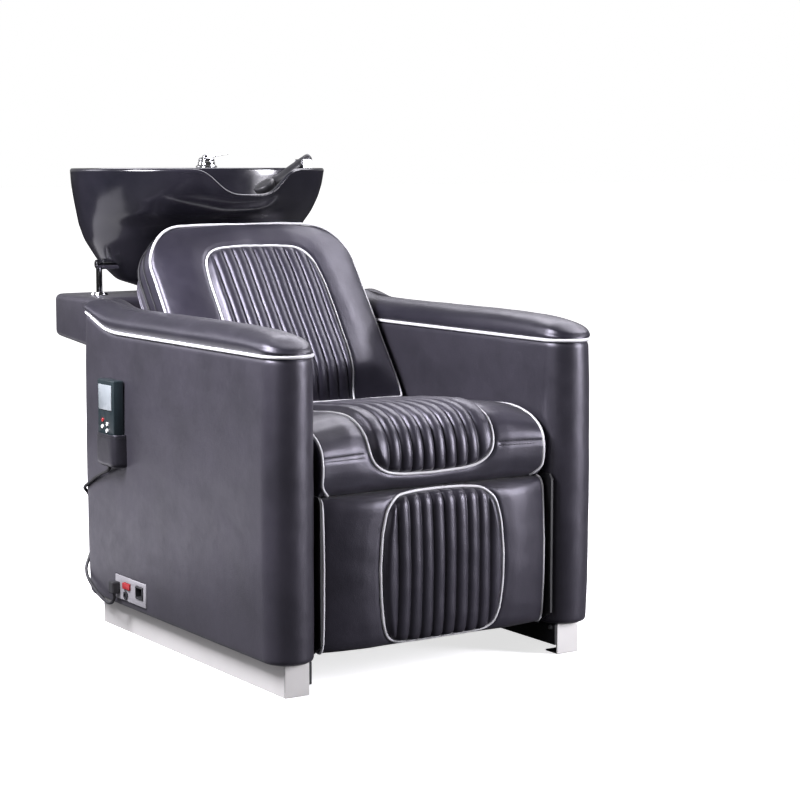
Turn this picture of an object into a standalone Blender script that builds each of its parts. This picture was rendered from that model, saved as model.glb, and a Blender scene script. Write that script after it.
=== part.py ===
"""Shampoo backwash unit: a power reclining salon chair with a tilting wash bowl behind it.

Design coordinates: x = 0 is the middle plane, y = 0 the front of the arms (the sitter faces -Y),
z = 0 the floor. Left is -X, as seen from the front. The whole model hangs on one empty, which
moves it so that the world origin is the middle of the footprint.
"""
import math

import bmesh
import bpy
from mathutils import Matrix, Vector

# Driving dimensions, in metres
GAP = 0.0003                      # clearance between touching pieces
MODEL_CENTRE = (-0.0180, 0.6190, 0.0)   # middle of the footprint, in design coordinates

ARM_OUT = 0.370                   # outer face of an arm
ARM_IN = 0.270                    # inner face of an arm
ARM_REAR = 0.810
ARM_BOTTOM = 0.063
SEAM_LINE = ((-0.010, 0.634), (0.660, 0.634), (0.700, 0.637), (0.735, 0.6465), (0.765, 0.658),
             (0.790, 0.667), (0.820, 0.672))
PAD_CREST = ((0.820, 0.702), (0.780, 0.694), (0.740, 0.685), (0.700, 0.681), (0.200, 0.681),
             (0.120, 0.679), (0.050, 0.672), (0.010, 0.660), (-0.010, 0.650))

PLINTH_X = (0.289, 0.342)
PLINTH_Y = (0.020, 0.796)
SIDE_PLATE_X = (0.2645, 0.2695)
BASE_PLATE_X = (0.2837, 0.2887)   # dark plate lining the plinth's inner face
BASE_PLATE_BOTTOM = 0.020
PLATE_BOLT = (0.034, 0.0545)      # y and z of the bolt on a base plate

SEAT_HALF = 0.260
SEAT_OUTLINE = ((0.090, 0.500), (0.060, 0.486), (0.044, 0.468), (0.036, 0.435), (0.034, 0.405),
                (0.042, 0.378), (0.062, 0.3665), (0.439, 0.3665), (0.5028, 0.4542), (0.536, 0.500))
TRAY_Z = (0.3612, 0.3662)
FRAME_FLANGE_X = (0.2352, 0.2400)
SLIDE_RUN = (-0.9906, 0.1370)     # direction of the seat's travel, as (y, z)
SLIDE_POINT = (0.330, 0.285)      # a point on the runner's centre line, as (y, z)

LEG_HALF = 0.258
LEG_OUTLINE = ((-0.004, 0.110), (0.003, 0.077), (0.022, 0.070), (0.062, 0.072), (0.062, 0.355),
               (0.050, 0.3625), (0.012, 0.3625), (-0.002, 0.350))
LEG_BOARD_Y = (0.0625, 0.0745)
PIVOT_A = (0.160, 0.315)          # rear link on the seat frame, as (y, z)
PIVOT_J = (0.120, 0.140)          # front link on the rear link
PIVOT_B = (0.085, 0.330)          # legrest on the front link
LINK_RADIUS = 0.012
PIN_RADIUS = 0.006
PIN_HOLE = 0.0063
BOARD_LUG_X = (0.1855, 0.1905)
FRONT_LINK_X = (0.1935, 0.1985)
REAR_LINK_X = (0.2020, 0.2070)
FRAME_LUG_X = (0.2105, 0.2155)
BACK_LUG_X = (0.2035, 0.2085)

BACK_PIVOT = (0.508, 0.355)
BACK_FOOT = (0.528, 0.4785)       # a point low on the back's front face, as (y, z)
BACK_LEAN = math.radians(36.0)    # from the vertical
BACK_HALF = 0.250
BACK_TOP = 0.4555                 # up the back from BACK_FOOT
BACK_BOTTOM = -0.030
CUSHION_DEPTH = 0.0697
BACK_BOARD = (0.0700, 0.0750)
SHELL_DEPTH = (0.0753, 0.1050)

SHELF_HALF = 0.314
SHELF_Y = (0.8103, 0.885, 1.106)  # cheeks at the arms, front edge of the middle, rear edge
SHELF_TOP = 0.690
SHELF_UNDERSIDE = (0.572, 0.598)  # heights at the arms and at the rear edge
SHELF_CORNER = 0.030
WELL = ((-0.105, 0.950), (0.105, 1.062))

POST = (0.245, 1.000)             # x and y of a bowl post
BOWL_AXIS_Z = 0.758
POST_RADIUS = 0.007
# Bowl sections: height, half width, front edge and rear edge
BOWL_OUTSIDE = ((0.966, 0.288, 0.739, 1.242), (0.935, 0.286, 0.748, 1.238),
                (0.905, 0.281, 0.763, 1.232), (0.870, 0.273, 0.795, 1.220),
                (0.845, 0.266, 0.833, 1.208), (0.810, 0.254, 0.868, 1.185),
                (0.760, 0.222, 0.915, 1.150), (0.720, 0.183, 0.955, 1.108),
                (0.700, 0.120, 0.985, 1.075))
BOWL_INSIDE = ((0.966, 0.273, 0.755, 1.167), (0.930, 0.268, 0.768, 1.163),
               (0.890, 0.260, 0.793, 1.158), (0.850, 0.247, 0.846, 1.148),
               (0.800, 0.226, 0.898, 1.128), (0.755, 0.186, 0.945, 1.098),
               (0.727, 0.125, 0.985, 1.075))
BOWL_RIM = (0.966, 0.281, 0.747, 1.206)   # crown line of the rim
RIM_CROWN = 0.003
BOWL_POWER = 2.2                  # exponent of the bowl's rounded plan
BOWL_STEPS = 64
BOWL_FLOOR = BOWL_INSIDE[-1][0] - 0.010   # level of the seat around the drain hole
NOTCH_HALF = 0.088
NOTCH_DEPTH = 0.054
NOTCH_ROOT = 0.860                # below this height the neck notch has faded out
DRAIN = (0.0, 1.030)
DRAIN_HOLE = 0.0245

MIXER = (0.135, 1.204)
SHOWER_DOCK = (0.268, 0.975, 0.969)
SHOWER_END = (0.182, 0.975, 0.918)

PANEL_Y = (0.528, 0.669)
PANEL_Z = (0.080, 0.130)
ROCKER = (0.612, 0.112)
INLET = (0.555, 0.108)
SOCKET = (0.618, 0.092)
PLUG = (0.655, 0.104)
ROCKER_HALF = (0.0150, 0.0068)    # half width and half height
INLET_HALF = (0.0160, 0.0130)

REMOTE_LOW = (-0.4000, 0.610, 0.385)
REMOTE_HIGH = (-0.3760, 0.686, 0.540)
POCKET_LOW = (-0.4060, 0.602, 0.360)
POCKET_HIGH = (-0.3703, 0.694, 0.4285)
SCREEN = ((-0.4018, 0.618, 0.478), (-0.4003, 0.678, 0.530))
CORD_RADIUS = 0.0035
CORD_ROUTE = ((-0.3880, 0.655, 0.3847), (-0.3880, 0.656, 0.3596), (-0.3872, 0.665, 0.3500),
              (-0.3855, 0.682, 0.3440), (-0.3830, 0.708, 0.3365), (-0.3805, 0.740, 0.3250),
              (-0.3790, 0.772, 0.3110), (-0.3782, 0.799, 0.2980), (-0.3738, 0.8132, 0.2910),
              (-0.3650, 0.8200, 0.2820), (-0.3560, 0.8240, 0.2670), (-0.3500, 0.8260, 0.2420),
              (-0.3490, 0.8260, 0.2000), (-0.3540, 0.8245, 0.1600), (-0.3645, 0.8195, 0.1370),
              (-0.3730, 0.8137, 0.1210), (-0.3772, 0.8035, 0.1080), (-0.3795, 0.788, 0.0975),
              (-0.3815, 0.764, 0.0865), (-0.3835, 0.735, 0.0770), (-0.3840, 0.704, 0.0690),
              (-0.3840, 0.680, 0.0665), (-0.3838, 0.664, 0.0715), (-0.3838, 0.6556, 0.0815),
              (-0.3838, 0.6550, 0.0902))
BUTTON_SPOTS = ((0.661, 0.4560), (0.640, 0.4490), (0.663, 0.4420), (0.642, 0.4350))

# Which way a flat outline stands: columns are its own x, y and thickness directions
ALONG_X = Matrix(((0, 0, 1), (1, 0, 0), (0, 1, 0))).to_4x4()
ALONG_Z = Matrix.Identity(4)


def clear_scene():
    for obj in list(bpy.data.objects):
        bpy.data.objects.remove(obj, do_unlink=True)


def new_collection(name):
    collection = bpy.data.collections.new(name)
    bpy.context.scene.collection.children.link(collection)
    return collection


def material(name, colour, metallic, roughness):
    mat = bpy.data.materials.new(name)
    mat.use_nodes = True
    shader = mat.node_tree.nodes["Principled BSDF"]
    shader.inputs["Base Color"].default_value = (*colour, 1.0)
    shader.inputs["Metallic"].default_value = metallic
    shader.inputs["Roughness"].default_value = roughness
    return mat


def adopt(obj, collection):
    """Leave the object in this collection only."""
    for other in list(obj.users_collection):
        other.objects.unlink(obj)
    collection.objects.link(obj)


def from_mesh(name, mesh):
    obj = bpy.data.objects.new(name, mesh)
    model.objects.link(obj)
    return obj


def box(name, low, high, bevel=0.0):
    bpy.ops.mesh.primitive_cube_add(size=1.0)
    obj = bpy.context.active_object
    obj.name = name
    low, high = Vector(low), Vector(high)
    obj.data.transform(Matrix.Translation((low + high) / 2) @ Matrix.Diagonal((*(high - low), 1.0)))
    adopt(obj, model)
    if bevel:
        soften(obj, bevel)
    return obj


def soften(obj, width, segments=2):
    bevel = obj.modifiers.new("rounded edges", "BEVEL")
    bevel.width = width
    bevel.segments = segments
    bevel.limit_method = "ANGLE"
    bevel.angle_limit = math.radians(40.0)
    return obj


def rod(name, start, end, radius, end_radius=None, segments=24):
    """A round bar or a taper between two points."""
    start, end = Vector(start), Vector(end)
    end_radius = radius if end_radius is None else end_radius
    bpy.ops.mesh.primitive_cone_add(vertices=segments, radius1=radius, radius2=end_radius,
                                    depth=(end - start).length)
    obj = bpy.context.active_object
    obj.name = name
    turn = (end - start).to_track_quat("Z", "Y").to_matrix().to_4x4()
    obj.data.transform(Matrix.Translation((start + end) / 2) @ turn)
    obj.data.shade_smooth()
    obj.data.set_sharp_from_angle(angle=math.radians(35.0))
    adopt(obj, model)
    return obj


def as_mesh(obj):
    """Turn a curve object into a welded mesh object of the same name."""
    bpy.context.view_layer.update()
    name = obj.name
    evaluated = obj.evaluated_get(bpy.context.evaluated_depsgraph_get())
    mesh = bpy.data.meshes.new_from_object(evaluated)
    mesh.transform(obj.matrix_world)
    bpy.data.objects.remove(obj, do_unlink=True)
    welded = bmesh.new()
    welded.from_mesh(mesh)
    bmesh.ops.remove_doubles(welded, verts=welded.verts, dist=0.00001)
    bmesh.ops.dissolve_limit(welded, angle_limit=0.001, verts=welded.verts, edges=welded.edges)
    bmesh.ops.recalc_face_normals(welded, faces=welded.faces)
    welded.to_mesh(mesh)
    welded.free()
    return from_mesh(name, mesh)


def plate(name, outline, stance, low, high, holes=()):
    """An outline with holes (x, y, radius), thickened from low to high along its own z."""
    curve = bpy.data.curves.new(name, "CURVE")
    curve.dimensions = "2D"
    curve.fill_mode = "BOTH"
    curve.extrude = (high - low) / 2
    loops = [outline] + [arc(x, y, radius, 0, 360, 20)[:-1] for x, y, radius in holes]
    for loop in loops:
        spline = curve.splines.new("POLY")
        spline.points.add(len(loop) - 1)
        for point, place in zip(spline.points, loop):
            point.co = (*place, 0.0, 1.0)
        spline.use_cyclic_u = True
    obj = bpy.data.objects.new(name, curve)
    obj.matrix_world = stance @ Matrix.Translation((0, 0, (low + high) / 2))
    model.objects.link(obj)
    return as_mesh(obj)


def tube(name, points, radius):
    curve = bpy.data.curves.new(name, "CURVE")
    curve.dimensions = "3D"
    curve.bevel_depth = radius
    curve.bevel_resolution = 2
    curve.use_fill_caps = True
    spline = curve.splines.new("POLY")
    spline.points.add(len(points) - 1)
    for point, place in zip(spline.points, points):
        point.co = (*place, 1.0)
    obj = bpy.data.objects.new(name, curve)
    model.objects.link(obj)
    return obj


def arc(x, y, radius, start, end, steps):
    angles = [math.radians(start + (end - start) * step / steps) for step in range(steps + 1)]
    return [(x + radius * math.cos(a), y + radius * math.sin(a)) for a in angles]


def bar_outline(start, end, radius):
    """A straight bar with round ends about two pivots."""
    heading = math.degrees(math.atan2(end[1] - start[1], end[0] - start[0]))
    tail = arc(*start, radius, heading + 90, heading + 270, 10)
    return tail + arc(*end, radius, heading - 90, heading + 90, 10)


def shape(obj, tool, operation="DIFFERENCE"):
    """Cut, join or intersect with a tool, which moves to the cutters."""
    modifier = obj.modifiers.new(operation.lower(), "BOOLEAN")
    modifier.operation = operation
    modifier.object = tool
    adopt(tool, cutters)
    tool.hide_render = True
    tool.display_type = "WIRE"
    return obj


def join(obj, *tools):
    for tool in tools:
        shape(obj, tool, "UNION")
    return obj


def empty(name, location, parent=None):
    obj = bpy.data.objects.new(name, None)
    obj.empty_display_size = 0.05
    obj.location = location
    model.objects.link(obj)
    if parent:
        hang(obj, parent)
    return obj


def hang(obj, parent):
    """Parent without moving: the parent's place is undone in the parent inverse."""
    bpy.context.view_layer.update()
    obj.parent = parent
    obj.matrix_parent_inverse = parent.matrix_world.inverted()


def finish(obj, mat, parent):
    obj.data.materials.clear()
    obj.data.materials.append(mat)
    hang(obj, parent)


def on_back(up, deep):
    """World (y, z) of a point up the back from its foot and deep behind its front face."""
    sine, cosine = math.sin(BACK_LEAN), math.cos(BACK_LEAN)
    return (BACK_FOOT[0] + up * sine + deep * cosine, BACK_FOOT[1] + up * cosine - deep * sine)


def on_slide(y):
    """Height of the runner's centre line at y."""
    return SLIDE_POINT[1] + (y - SLIDE_POINT[0]) * SLIDE_RUN[1] / SLIDE_RUN[0]


def mirrored(side, low, high):
    """The x range of a piece on one side, low to high."""
    return (low, high) if side > 0 else (-high, -low)


# ---------------------------------------------------------------- base and arms

def arm_plan(side):
    radius = (ARM_OUT - ARM_IN) / 2
    nose = arc((ARM_OUT + ARM_IN) / 2, radius, radius, 180, 360, 16)
    outer = arc(ARM_OUT - 0.012, ARM_REAR - 0.012, 0.012, 0, 90, 4)
    inner = arc(ARM_IN + 0.012, ARM_REAR - 0.012, 0.012, 90, 180, 4)
    return [(side * x, y) for x, y in nose + outer + inner]


def arm_block(name, side, profile):
    """An arm's plan, cut to a side profile."""
    block = plate(name, arm_plan(side), ALONG_Z, 0.0, 0.8)
    low, high = mirrored(side, ARM_IN - 0.01, ARM_OUT + 0.01)
    return shape(block, plate(name + "_profile", profile, ALONG_X, low, high), "INTERSECT")


def arm_panel(name, side):
    lower_rear = arc(ARM_REAR - 0.028, ARM_BOTTOM + 0.028, 0.028, -90, 0, 5)
    profile = [(-0.010, ARM_BOTTOM)] + lower_rear + [(0.820, 0.120)] + list(reversed(SEAM_LINE))
    return arm_block(name, side, profile)


def arm_pad(name, side):
    bottom = [(y, z + GAP) for y, z in SEAM_LINE]
    return arm_block(name, side, bottom + list(PAD_CREST))


def plinth(name, side):
    """A folded sheet cover, open underneath and along the foot of its inner wall."""
    low, high = mirrored(side, *PLINTH_X)
    top = ARM_BOTTOM - GAP
    wall = 0.003
    front, rear = PLINTH_Y
    body = box(name, (low, front, 0.0), (high, rear, top), 0.0015)
    inside = box(name + "_inside", (low + wall, front + wall, -0.010), (high - wall, rear - wall, top - wall))
    shape(body, inside)
    inner = mirrored(side, PLINTH_X[0] - 0.010, PLINTH_X[0] + 0.010)
    return shape(body, box(name + "_slot", (inner[0], front + wall, -0.010),
                           (inner[1], rear - wall, BASE_PLATE_BOTTOM)))


def power_recess():
    return box("power_recess", (-ARM_OUT - 0.001, 0.534, 0.0830), (-0.335, 0.672, 0.1270))


def foot_tab(name, side):
    """A small angle foot behind the plinth's front wall, flat on the floor."""
    low, high = mirrored(side, 0.2925, 0.3380)
    front, rear = PLINTH_Y[0] + 0.0033, 0.062
    tab = box(name, (low, front, 0.0), (high, rear, 0.003))
    return join(tab, box(name + "_leg", (low, front, 0.0), (high, front + 0.003, 0.050)))


def base_plate(name, side):
    """A dark plate on the plinth's inner face, clear of the floor."""
    low, high = mirrored(side, *BASE_PLATE_X)
    return box(name, (low, PLINTH_Y[0] + 0.001, BASE_PLATE_BOTTOM),
               (high, PLINTH_Y[1] - 0.004, ARM_BOTTOM - GAP))


def side_plate(name, side):
    low, high = mirrored(side, *SIDE_PLATE_X)
    outline = [(0.012, 0.090), (0.062, 0.0580), (0.770, 0.0580), (0.790, 0.070), (0.790, 0.400),
               (0.530, 0.400), (0.500, 0.370), (0.020, 0.370), (0.012, 0.360)]
    return plate(name, outline, ALONG_X, low, high)


def plate_bolt(name, side):
    """A dome head on the base plate."""
    face = side * (BASE_PLATE_X[0] - GAP)
    return rod(name, (face, *PLATE_BOLT), (face - side * 0.004, *PLATE_BOLT), 0.0055, 0.004, 16)


def cross_bar(name, y, z):
    half = SIDE_PLATE_X[0] - GAP
    return box(name, (-half, y[0], z[0]), (half, y[1], z[1]), 0.003)


def seat_rail(name, side):
    """A channel on the side plate, parallel to the seat's travel."""
    rail = slide_bar(name, side, (0.2495, SIDE_PLATE_X[0] - GAP), (0.075, 0.520), 0.022)
    groove = slide_bar(name + "_groove", side, (0.2480, 0.2565), (0.060, 0.540), 0.008)
    return shape(rail, groove)


def slide_bar(name, side, x, y, height):
    """A flat bar along the seat's travel, between two y positions."""
    half = height / 2
    ends = [(place, on_slide(place)) for place in y]
    outline = [(ends[0][0], ends[0][1] - half), (ends[1][0], ends[1][1] - half),
               (ends[1][0], ends[1][1] + half), (ends[0][0], ends[0][1] + half)]
    return plate(name, outline, ALONG_X, *mirrored(side, *x))


def actuator_line(y):
    """Height of the actuator's axis, which is parallel to the seat's travel."""
    return 0.235 + (y - 0.400) * SLIDE_RUN[1] / SLIDE_RUN[0]


def actuator_tube():
    front, rear = 0.380, 0.640
    outer = rod("actuator_tube", (0, front, actuator_line(front)), (0, rear, actuator_line(rear)), 0.018)
    bore_start, bore_end = front - 0.01, 0.600
    bore = rod("actuator_bore", (0, bore_start, actuator_line(bore_start)),
               (0, bore_end, actuator_line(bore_end)), 0.0085)
    return shape(outer, bore)


def actuator_motor():
    motor = rod("actuator_motor", (0, 0.585, 0.0645), (0, 0.585, 0.1850), 0.027, segments=32)
    return motor


def shelf():
    cheek, front, rear = SHELF_Y
    inner = ARM_IN - 0.008
    radius = SHELF_CORNER
    left = arc(-SHELF_HALF + radius, rear - radius, radius, 180, 90, 6)
    right = arc(SHELF_HALF - radius, rear - radius, radius, 90, 0, 6)
    plan = [(-SHELF_HALF, cheek)] + left + right
    plan += [(SHELF_HALF, cheek), (inner, cheek), (inner, front), (-inner, front), (-inner, cheek)]
    body = plate("rear_shelf", plan, ALONG_Z, 0.5, 0.8)
    profile = [(cheek - 0.01, SHELF_UNDERSIDE[0]), (rear + 0.01, SHELF_UNDERSIDE[1]),
               (rear + 0.01, SHELF_TOP), (cheek - 0.01, SHELF_TOP)]
    shape(body, plate("shelf_profile", profile, ALONG_X, -0.4, 0.4), "INTERSECT")
    return shape(body, box("shelf_well", (*WELL[0], 0.5), (*WELL[1], 0.8)))


# ---------------------------------------------------------------- seat

def seat_frame():
    half = FRAME_FLANGE_X[1]
    frame = box("seat_frame", (-half, 0.120, TRAY_Z[0]), (half, 0.495, TRAY_Z[1]))
    flange = [(0.130, 0.364), (0.495, 0.364), (0.495, on_slide(0.495) - 0.008),
              (0.160, on_slide(0.160) - 0.008)]
    for side in (-1, 1):
        tag = "left" if side < 0 else "right"
        low, high = mirrored(side, *FRAME_FLANGE_X)
        lug_low, lug_high = mirrored(side, *FRAME_LUG_X)
        leg_lug = [(0.185, 0.364), (0.135, 0.364)] + arc(*PIVOT_A, 0.014, 190, 350, 10)
        back_lug = [(0.430, 0.364), (0.430, 0.352)] + arc(*BACK_PIVOT, 0.014, -110, 100, 12)
        join(frame,
             plate(tag + "_flange", flange, ALONG_X, low, high),
             plate(tag + "_leg_lug", leg_lug, ALONG_X, lug_low, lug_high, [(*PIVOT_A, PIN_HOLE)]),
             plate(tag + "_back_lug", back_lug, ALONG_X, lug_low, lug_high, [(*BACK_PIVOT, PIN_HOLE)]))
    return join(frame, box("push_lug", (-0.020, 0.230, 0.240), (0.020, 0.242, 0.364)))


def seat_cushion():
    return plate("seat_cushion", SEAT_OUTLINE, ALONG_X, -SEAT_HALF, SEAT_HALF)


# ---------------------------------------------------------------- back

def back_stance():
    """Own x is across, own y up the back, own z out of its front face."""
    sine, cosine = math.sin(BACK_LEAN), math.cos(BACK_LEAN)
    turn = Matrix(((1, 0, 0), (0, sine, -cosine), (0, cosine, sine))).to_4x4()
    return Matrix.Translation((0, *BACK_FOOT)) @ turn


def back_outline(half, bottom, top, corner):
    """A rectangle with round top corners and a slightly crowned top."""
    crown = 0.012
    left = arc(-half + corner, top - crown - corner, corner, 180, 90, 8)
    right = arc(half - corner, top - crown - corner, corner, 90, 0, 8)
    return [(-half, bottom)] + left + [(0, top)] + right + [(half, bottom)]


def back_frame():
    stance = back_stance()
    board = plate("back_frame", back_outline(0.2085, -0.058, 0.400, 0.09), stance,
                  -BACK_BOARD[1], -BACK_BOARD[0])
    for side in (-1, 1):
        tag = "left" if side < 0 else "right"
        outline = bar_outline(BACK_PIVOT, on_back(-0.045, 0.0725), 0.012)
        join(board, plate(tag + "_back_arm", outline, ALONG_X, *mirrored(side, *BACK_LUG_X)))
    shaft = rod("back_shaft", (-0.2175, *BACK_PIVOT), (0.2175, *BACK_PIVOT), PIN_RADIUS, segments=16)
    return join(board, shaft)


# ---------------------------------------------------------------- legrest and its links

def link_frame(name, x, start, end, shaft_half, holes):
    """Two flat bars welded to a cross shaft at their first pivot."""
    frame = rod(name, (-shaft_half, *start), (shaft_half, *start), PIN_RADIUS, segments=16)
    for side in (-1, 1):
        tag = "left" if side < 0 else "right"
        bar = plate(name + "_" + tag, bar_outline(start, end, LINK_RADIUS), ALONG_X,
                    *mirrored(side, *x), [(*spot, PIN_HOLE) for spot in holes])
        join(frame, bar)
    return frame


def front_link():
    frame = link_frame("front_leg_link", FRONT_LINK_X, PIVOT_J, PIVOT_B, 0.2085, [])
    for side in (-1, 1):
        tag = "left" if side < 0 else "right"
        low, high = mirrored(side, 0.1840, FRONT_LINK_X[1])
        join(frame, rod(tag + "_leg_pin", (low, *PIVOT_B), (high, *PIVOT_B), PIN_RADIUS, segments=16))
    return frame


def legrest_board():
    board = box("legrest_board", (-BOARD_LUG_X[1], LEG_BOARD_Y[0], 0.090),
                (BOARD_LUG_X[1], LEG_BOARD_Y[1], 0.345))
    lug = [(0.064, PIVOT_B[1] - 0.013)] + arc(*PIVOT_B, 0.013, -90, 90, 10) + [(0.064, PIVOT_B[1] + 0.013)]
    for side in (-1, 1):
        tag = "left" if side < 0 else "right"
        join(board, plate(tag + "_board_lug", lug, ALONG_X, *mirrored(side, *BOARD_LUG_X),
                          [(*PIVOT_B, PIN_HOLE)]))
    return board


# ---------------------------------------------------------------- bowl

def bowl_ring(section, grow=0.0, power=BOWL_POWER):
    """One ring of the bowl, lowered where the neck notch crosses its front."""
    height, half, front, rear = section
    middle, depth = (front + rear) / 2, (rear - front) / 2
    fade = max(0.0, (height - NOTCH_ROOT) / (BOWL_OUTSIDE[0][0] - NOTCH_ROOT))
    ring = []
    for step in range(BOWL_STEPS):
        angle = 2 * math.pi * step / BOWL_STEPS
        cosine, sine = math.cos(angle), math.sin(angle)
        x = math.copysign(abs(cosine) ** (2 / power), cosine) * (half + grow)
        y = middle + math.copysign(abs(sine) ** (2 / power), sine) * (depth + grow)
        notch = math.exp(-(x / NOTCH_HALF) ** 4) if y < middle else 0.0
        ring.append((x, y, height - NOTCH_DEPTH * fade * notch))
    return ring


def loft(name, rings, closed):
    """Skin a run of equal rings; a closed run joins its last ring to its first."""
    skin = bmesh.new()
    loops = [[skin.verts.new(place) for place in ring] for ring in rings]
    count = len(loops[0])
    pairs = list(zip(loops, loops[1:]))
    if closed:
        pairs.append((loops[-1], loops[0]))
    for upper, lower in pairs:
        for step in range(count):
            after = (step + 1) % count
            skin.faces.new((upper[step], upper[after], lower[after], lower[step]))
    if not closed:
        skin.faces.new(loops[0])
        skin.faces.new(loops[-1])
    bmesh.ops.recalc_face_normals(skin, faces=skin.faces)
    mesh = bpy.data.meshes.new(name)
    skin.to_mesh(mesh)
    skin.free()
    mesh.shade_smooth()
    mesh.set_sharp_from_angle(angle=math.radians(40.0))
    return from_mesh(name, mesh)


def drain_ring(height):
    x, y = DRAIN
    section = (height, DRAIN_HOLE, y - DRAIN_HOLE, y + DRAIN_HOLE)
    return bowl_ring(section, power=2.0)


def basin():
    outside = [bowl_ring(section) for section in BOWL_OUTSIDE]
    inside = [bowl_ring(section) for section in reversed(BOWL_INSIDE)]
    rim_top = [(x, y, z + RIM_CROWN) for x, y, z in bowl_ring(BOWL_RIM)]
    drain = [drain_ring(BOWL_OUTSIDE[-1][0]), drain_ring(BOWL_FLOOR)]
    return loft("wash_basin", outside + drain + inside + [rim_top], closed=True)


def bowl_boss(name, side):
    """The bowl's side boss with its pivot pin, shaped to the bowl's slanted wall."""
    y, z = POST[1], BOWL_AXIS_Z
    boss = rod(name, (side * 0.190, y, z), (side * 0.2375, y, z), 0.012, segments=32)
    rings = [bowl_ring(section, grow=0.0006) for section in BOWL_OUTSIDE]
    envelope = loft(name + "_bowl", rings, closed=False)
    shape(boss, envelope)
    pin = rod(name + "_pin", (side * 0.230, y, z), (side * 0.2540, y, z), 0.005, segments=16)
    return join(boss, pin)


def bowl_post(name, side):
    x, y = side * POST[0], POST[1]
    post = rod(name, (x, y, SHELF_TOP + GAP), (x, y, BOWL_AXIS_Z - 0.006), POST_RADIUS)
    flange = rod(name + "_flange", (x, y, SHELF_TOP + GAP), (x, y, SHELF_TOP + 0.005), 0.020, 0.018, 32)
    eye = rod(name + "_eye", (x - 0.007, y, BOWL_AXIS_Z), (x + 0.007, y, BOWL_AXIS_Z), 0.0098)
    bore = rod(name + "_bore", (x - 0.02, y, BOWL_AXIS_Z), (x + 0.02, y, BOWL_AXIS_Z), 0.0053, segments=16)
    join(post, flange, eye)
    return shape(post, bore)


def drain_tail():
    x, y = DRAIN
    floor = BOWL_FLOOR
    flange = rod("drain_flange", (x, y, floor + 0.012), (x, y, floor + 0.0155), 0.036, 0.034, 32)
    cup = rod("drain_cup", (x, y, 0.655), (x, y, floor + 0.013), DRAIN_HOLE - GAP, segments=32)
    join(flange, cup)
    shape(flange, rod("drain_bore", (x, y, 0.650), (x, y, floor + 0.020), 0.0185, segments=32))
    seat = rod("drain_seat", (x, y, floor + 0.0095), (x, y, floor + 0.020), 0.0215, segments=32)
    return shape(flange, seat)


def strainer():
    x, y = DRAIN
    floor = BOWL_FLOOR
    disc = rod("strainer", (x, y, floor + 0.0098), (x, y, floor + 0.0135), 0.0210, segments=32)
    for step in range(6):
        angle = math.radians(60 * step)
        spot = (x + 0.012 * math.cos(angle), y + 0.012 * math.sin(angle))
        hole = rod("strainer_hole_%d" % step, (*spot, floor), (*spot, floor + 0.03), 0.0028, segments=10)
        shape(disc, hole)
    return join(disc, rod("strainer_knob", (x, y, floor + 0.012), (x, y, floor + 0.021), 0.004, 0.005, 16))


def mixer_pieces():
    x, y = MIXER
    body = rod("mixer_body", (x, y, 0.9695), (x, y, 0.9840), 0.0215, 0.0195, 32)
    join(body, rod("mixer_foot", (x, y, 0.9695), (x, y, 0.9735), 0.0245, segments=32))
    turret = rod("mixer_turret", (x, y, 0.9843), (x, y, 0.9940), 0.0190, 0.0175, 32)
    slot = box("turret_slot", (x - 0.030, y - 0.0062, 0.9872), (x + 0.030, y + 0.0062, 1.0040))
    shape(turret, slot)
    blade = [(x - 0.010, 0.9925), (x - 0.004, 0.9910), (x + 0.010, 0.9912), (x + 0.034, 0.9985),
             (x + 0.060, 1.0010), (x + 0.060, 1.0042), (x + 0.032, 1.0035), (x + 0.008, 1.0005),
             (x - 0.008, 0.9995)]
    upright = Matrix(((1, 0, 0), (0, 0, -1), (0, 1, 0))).to_4x4()
    lever = plate("mixer_lever", blade, upright, -y - 0.0058, -y + 0.0058)
    return body, turret, lever


def shower_dock():
    """An open cradle on the rim, which the hand shower lifts out of."""
    x, y, z = SHOWER_DOCK
    dock = box("shower_dock", (x - 0.012, y - 0.019, z + 0.0003), (x + 0.012, y + 0.019, z + 0.0200), 0.002)
    run = (Vector(SHOWER_DOCK) - Vector(SHOWER_END)).normalized() * 0.05
    middle = Vector((x, y, z + 0.0145))
    channel = rod("dock_channel", middle - run, middle + run, 0.0118)
    shape(dock, channel)
    mouth = box("dock_mouth", (x - 0.03, y - 0.0118, z + 0.0145), (x + 0.03, y + 0.0118, z + 0.04))
    return shape(dock, mouth)


def hand_shower():
    """A handle that lies in the cradle, with its spray head down in the bowl."""
    rise = Vector((0, 0, 0.0145))
    top, low = Vector(SHOWER_DOCK) + rise, Vector(SHOWER_END) + rise
    run = (top - low).normalized()
    handle = rod("hand_shower", low, top + run * 0.020, 0.0108, 0.0112)
    across = Vector((0, 1, 0)).cross(run).normalized()
    head_centre = low - run * 0.018
    head = rod("shower_head", head_centre - across * 0.012, head_centre + across * 0.010, 0.026, 0.018, 32)
    return join(handle, head)


# ---------------------------------------------------------------- controls on the left arm

def power_panel():
    low_x, high_x = -0.3743, -ARM_OUT - GAP
    panel = box("power_panel", (low_x, PANEL_Y[0], PANEL_Z[0]), (high_x, PANEL_Y[1], PANEL_Z[1]), 0.001)
    cut = 0.0003
    holes = (("rocker_hole", ROCKER, ROCKER_HALF), ("inlet_hole", INLET, INLET_HALF))
    for name, (y, z), (half, height) in holes:
        shape(panel, box(name, (-0.40, y - half - cut, z - height - cut),
                         (-0.36, y + half + cut, z + height + cut)))
    return shape(panel, rod("socket_hole", (-0.40, *SOCKET), (-0.36, *SOCKET), 0.0085))


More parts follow.
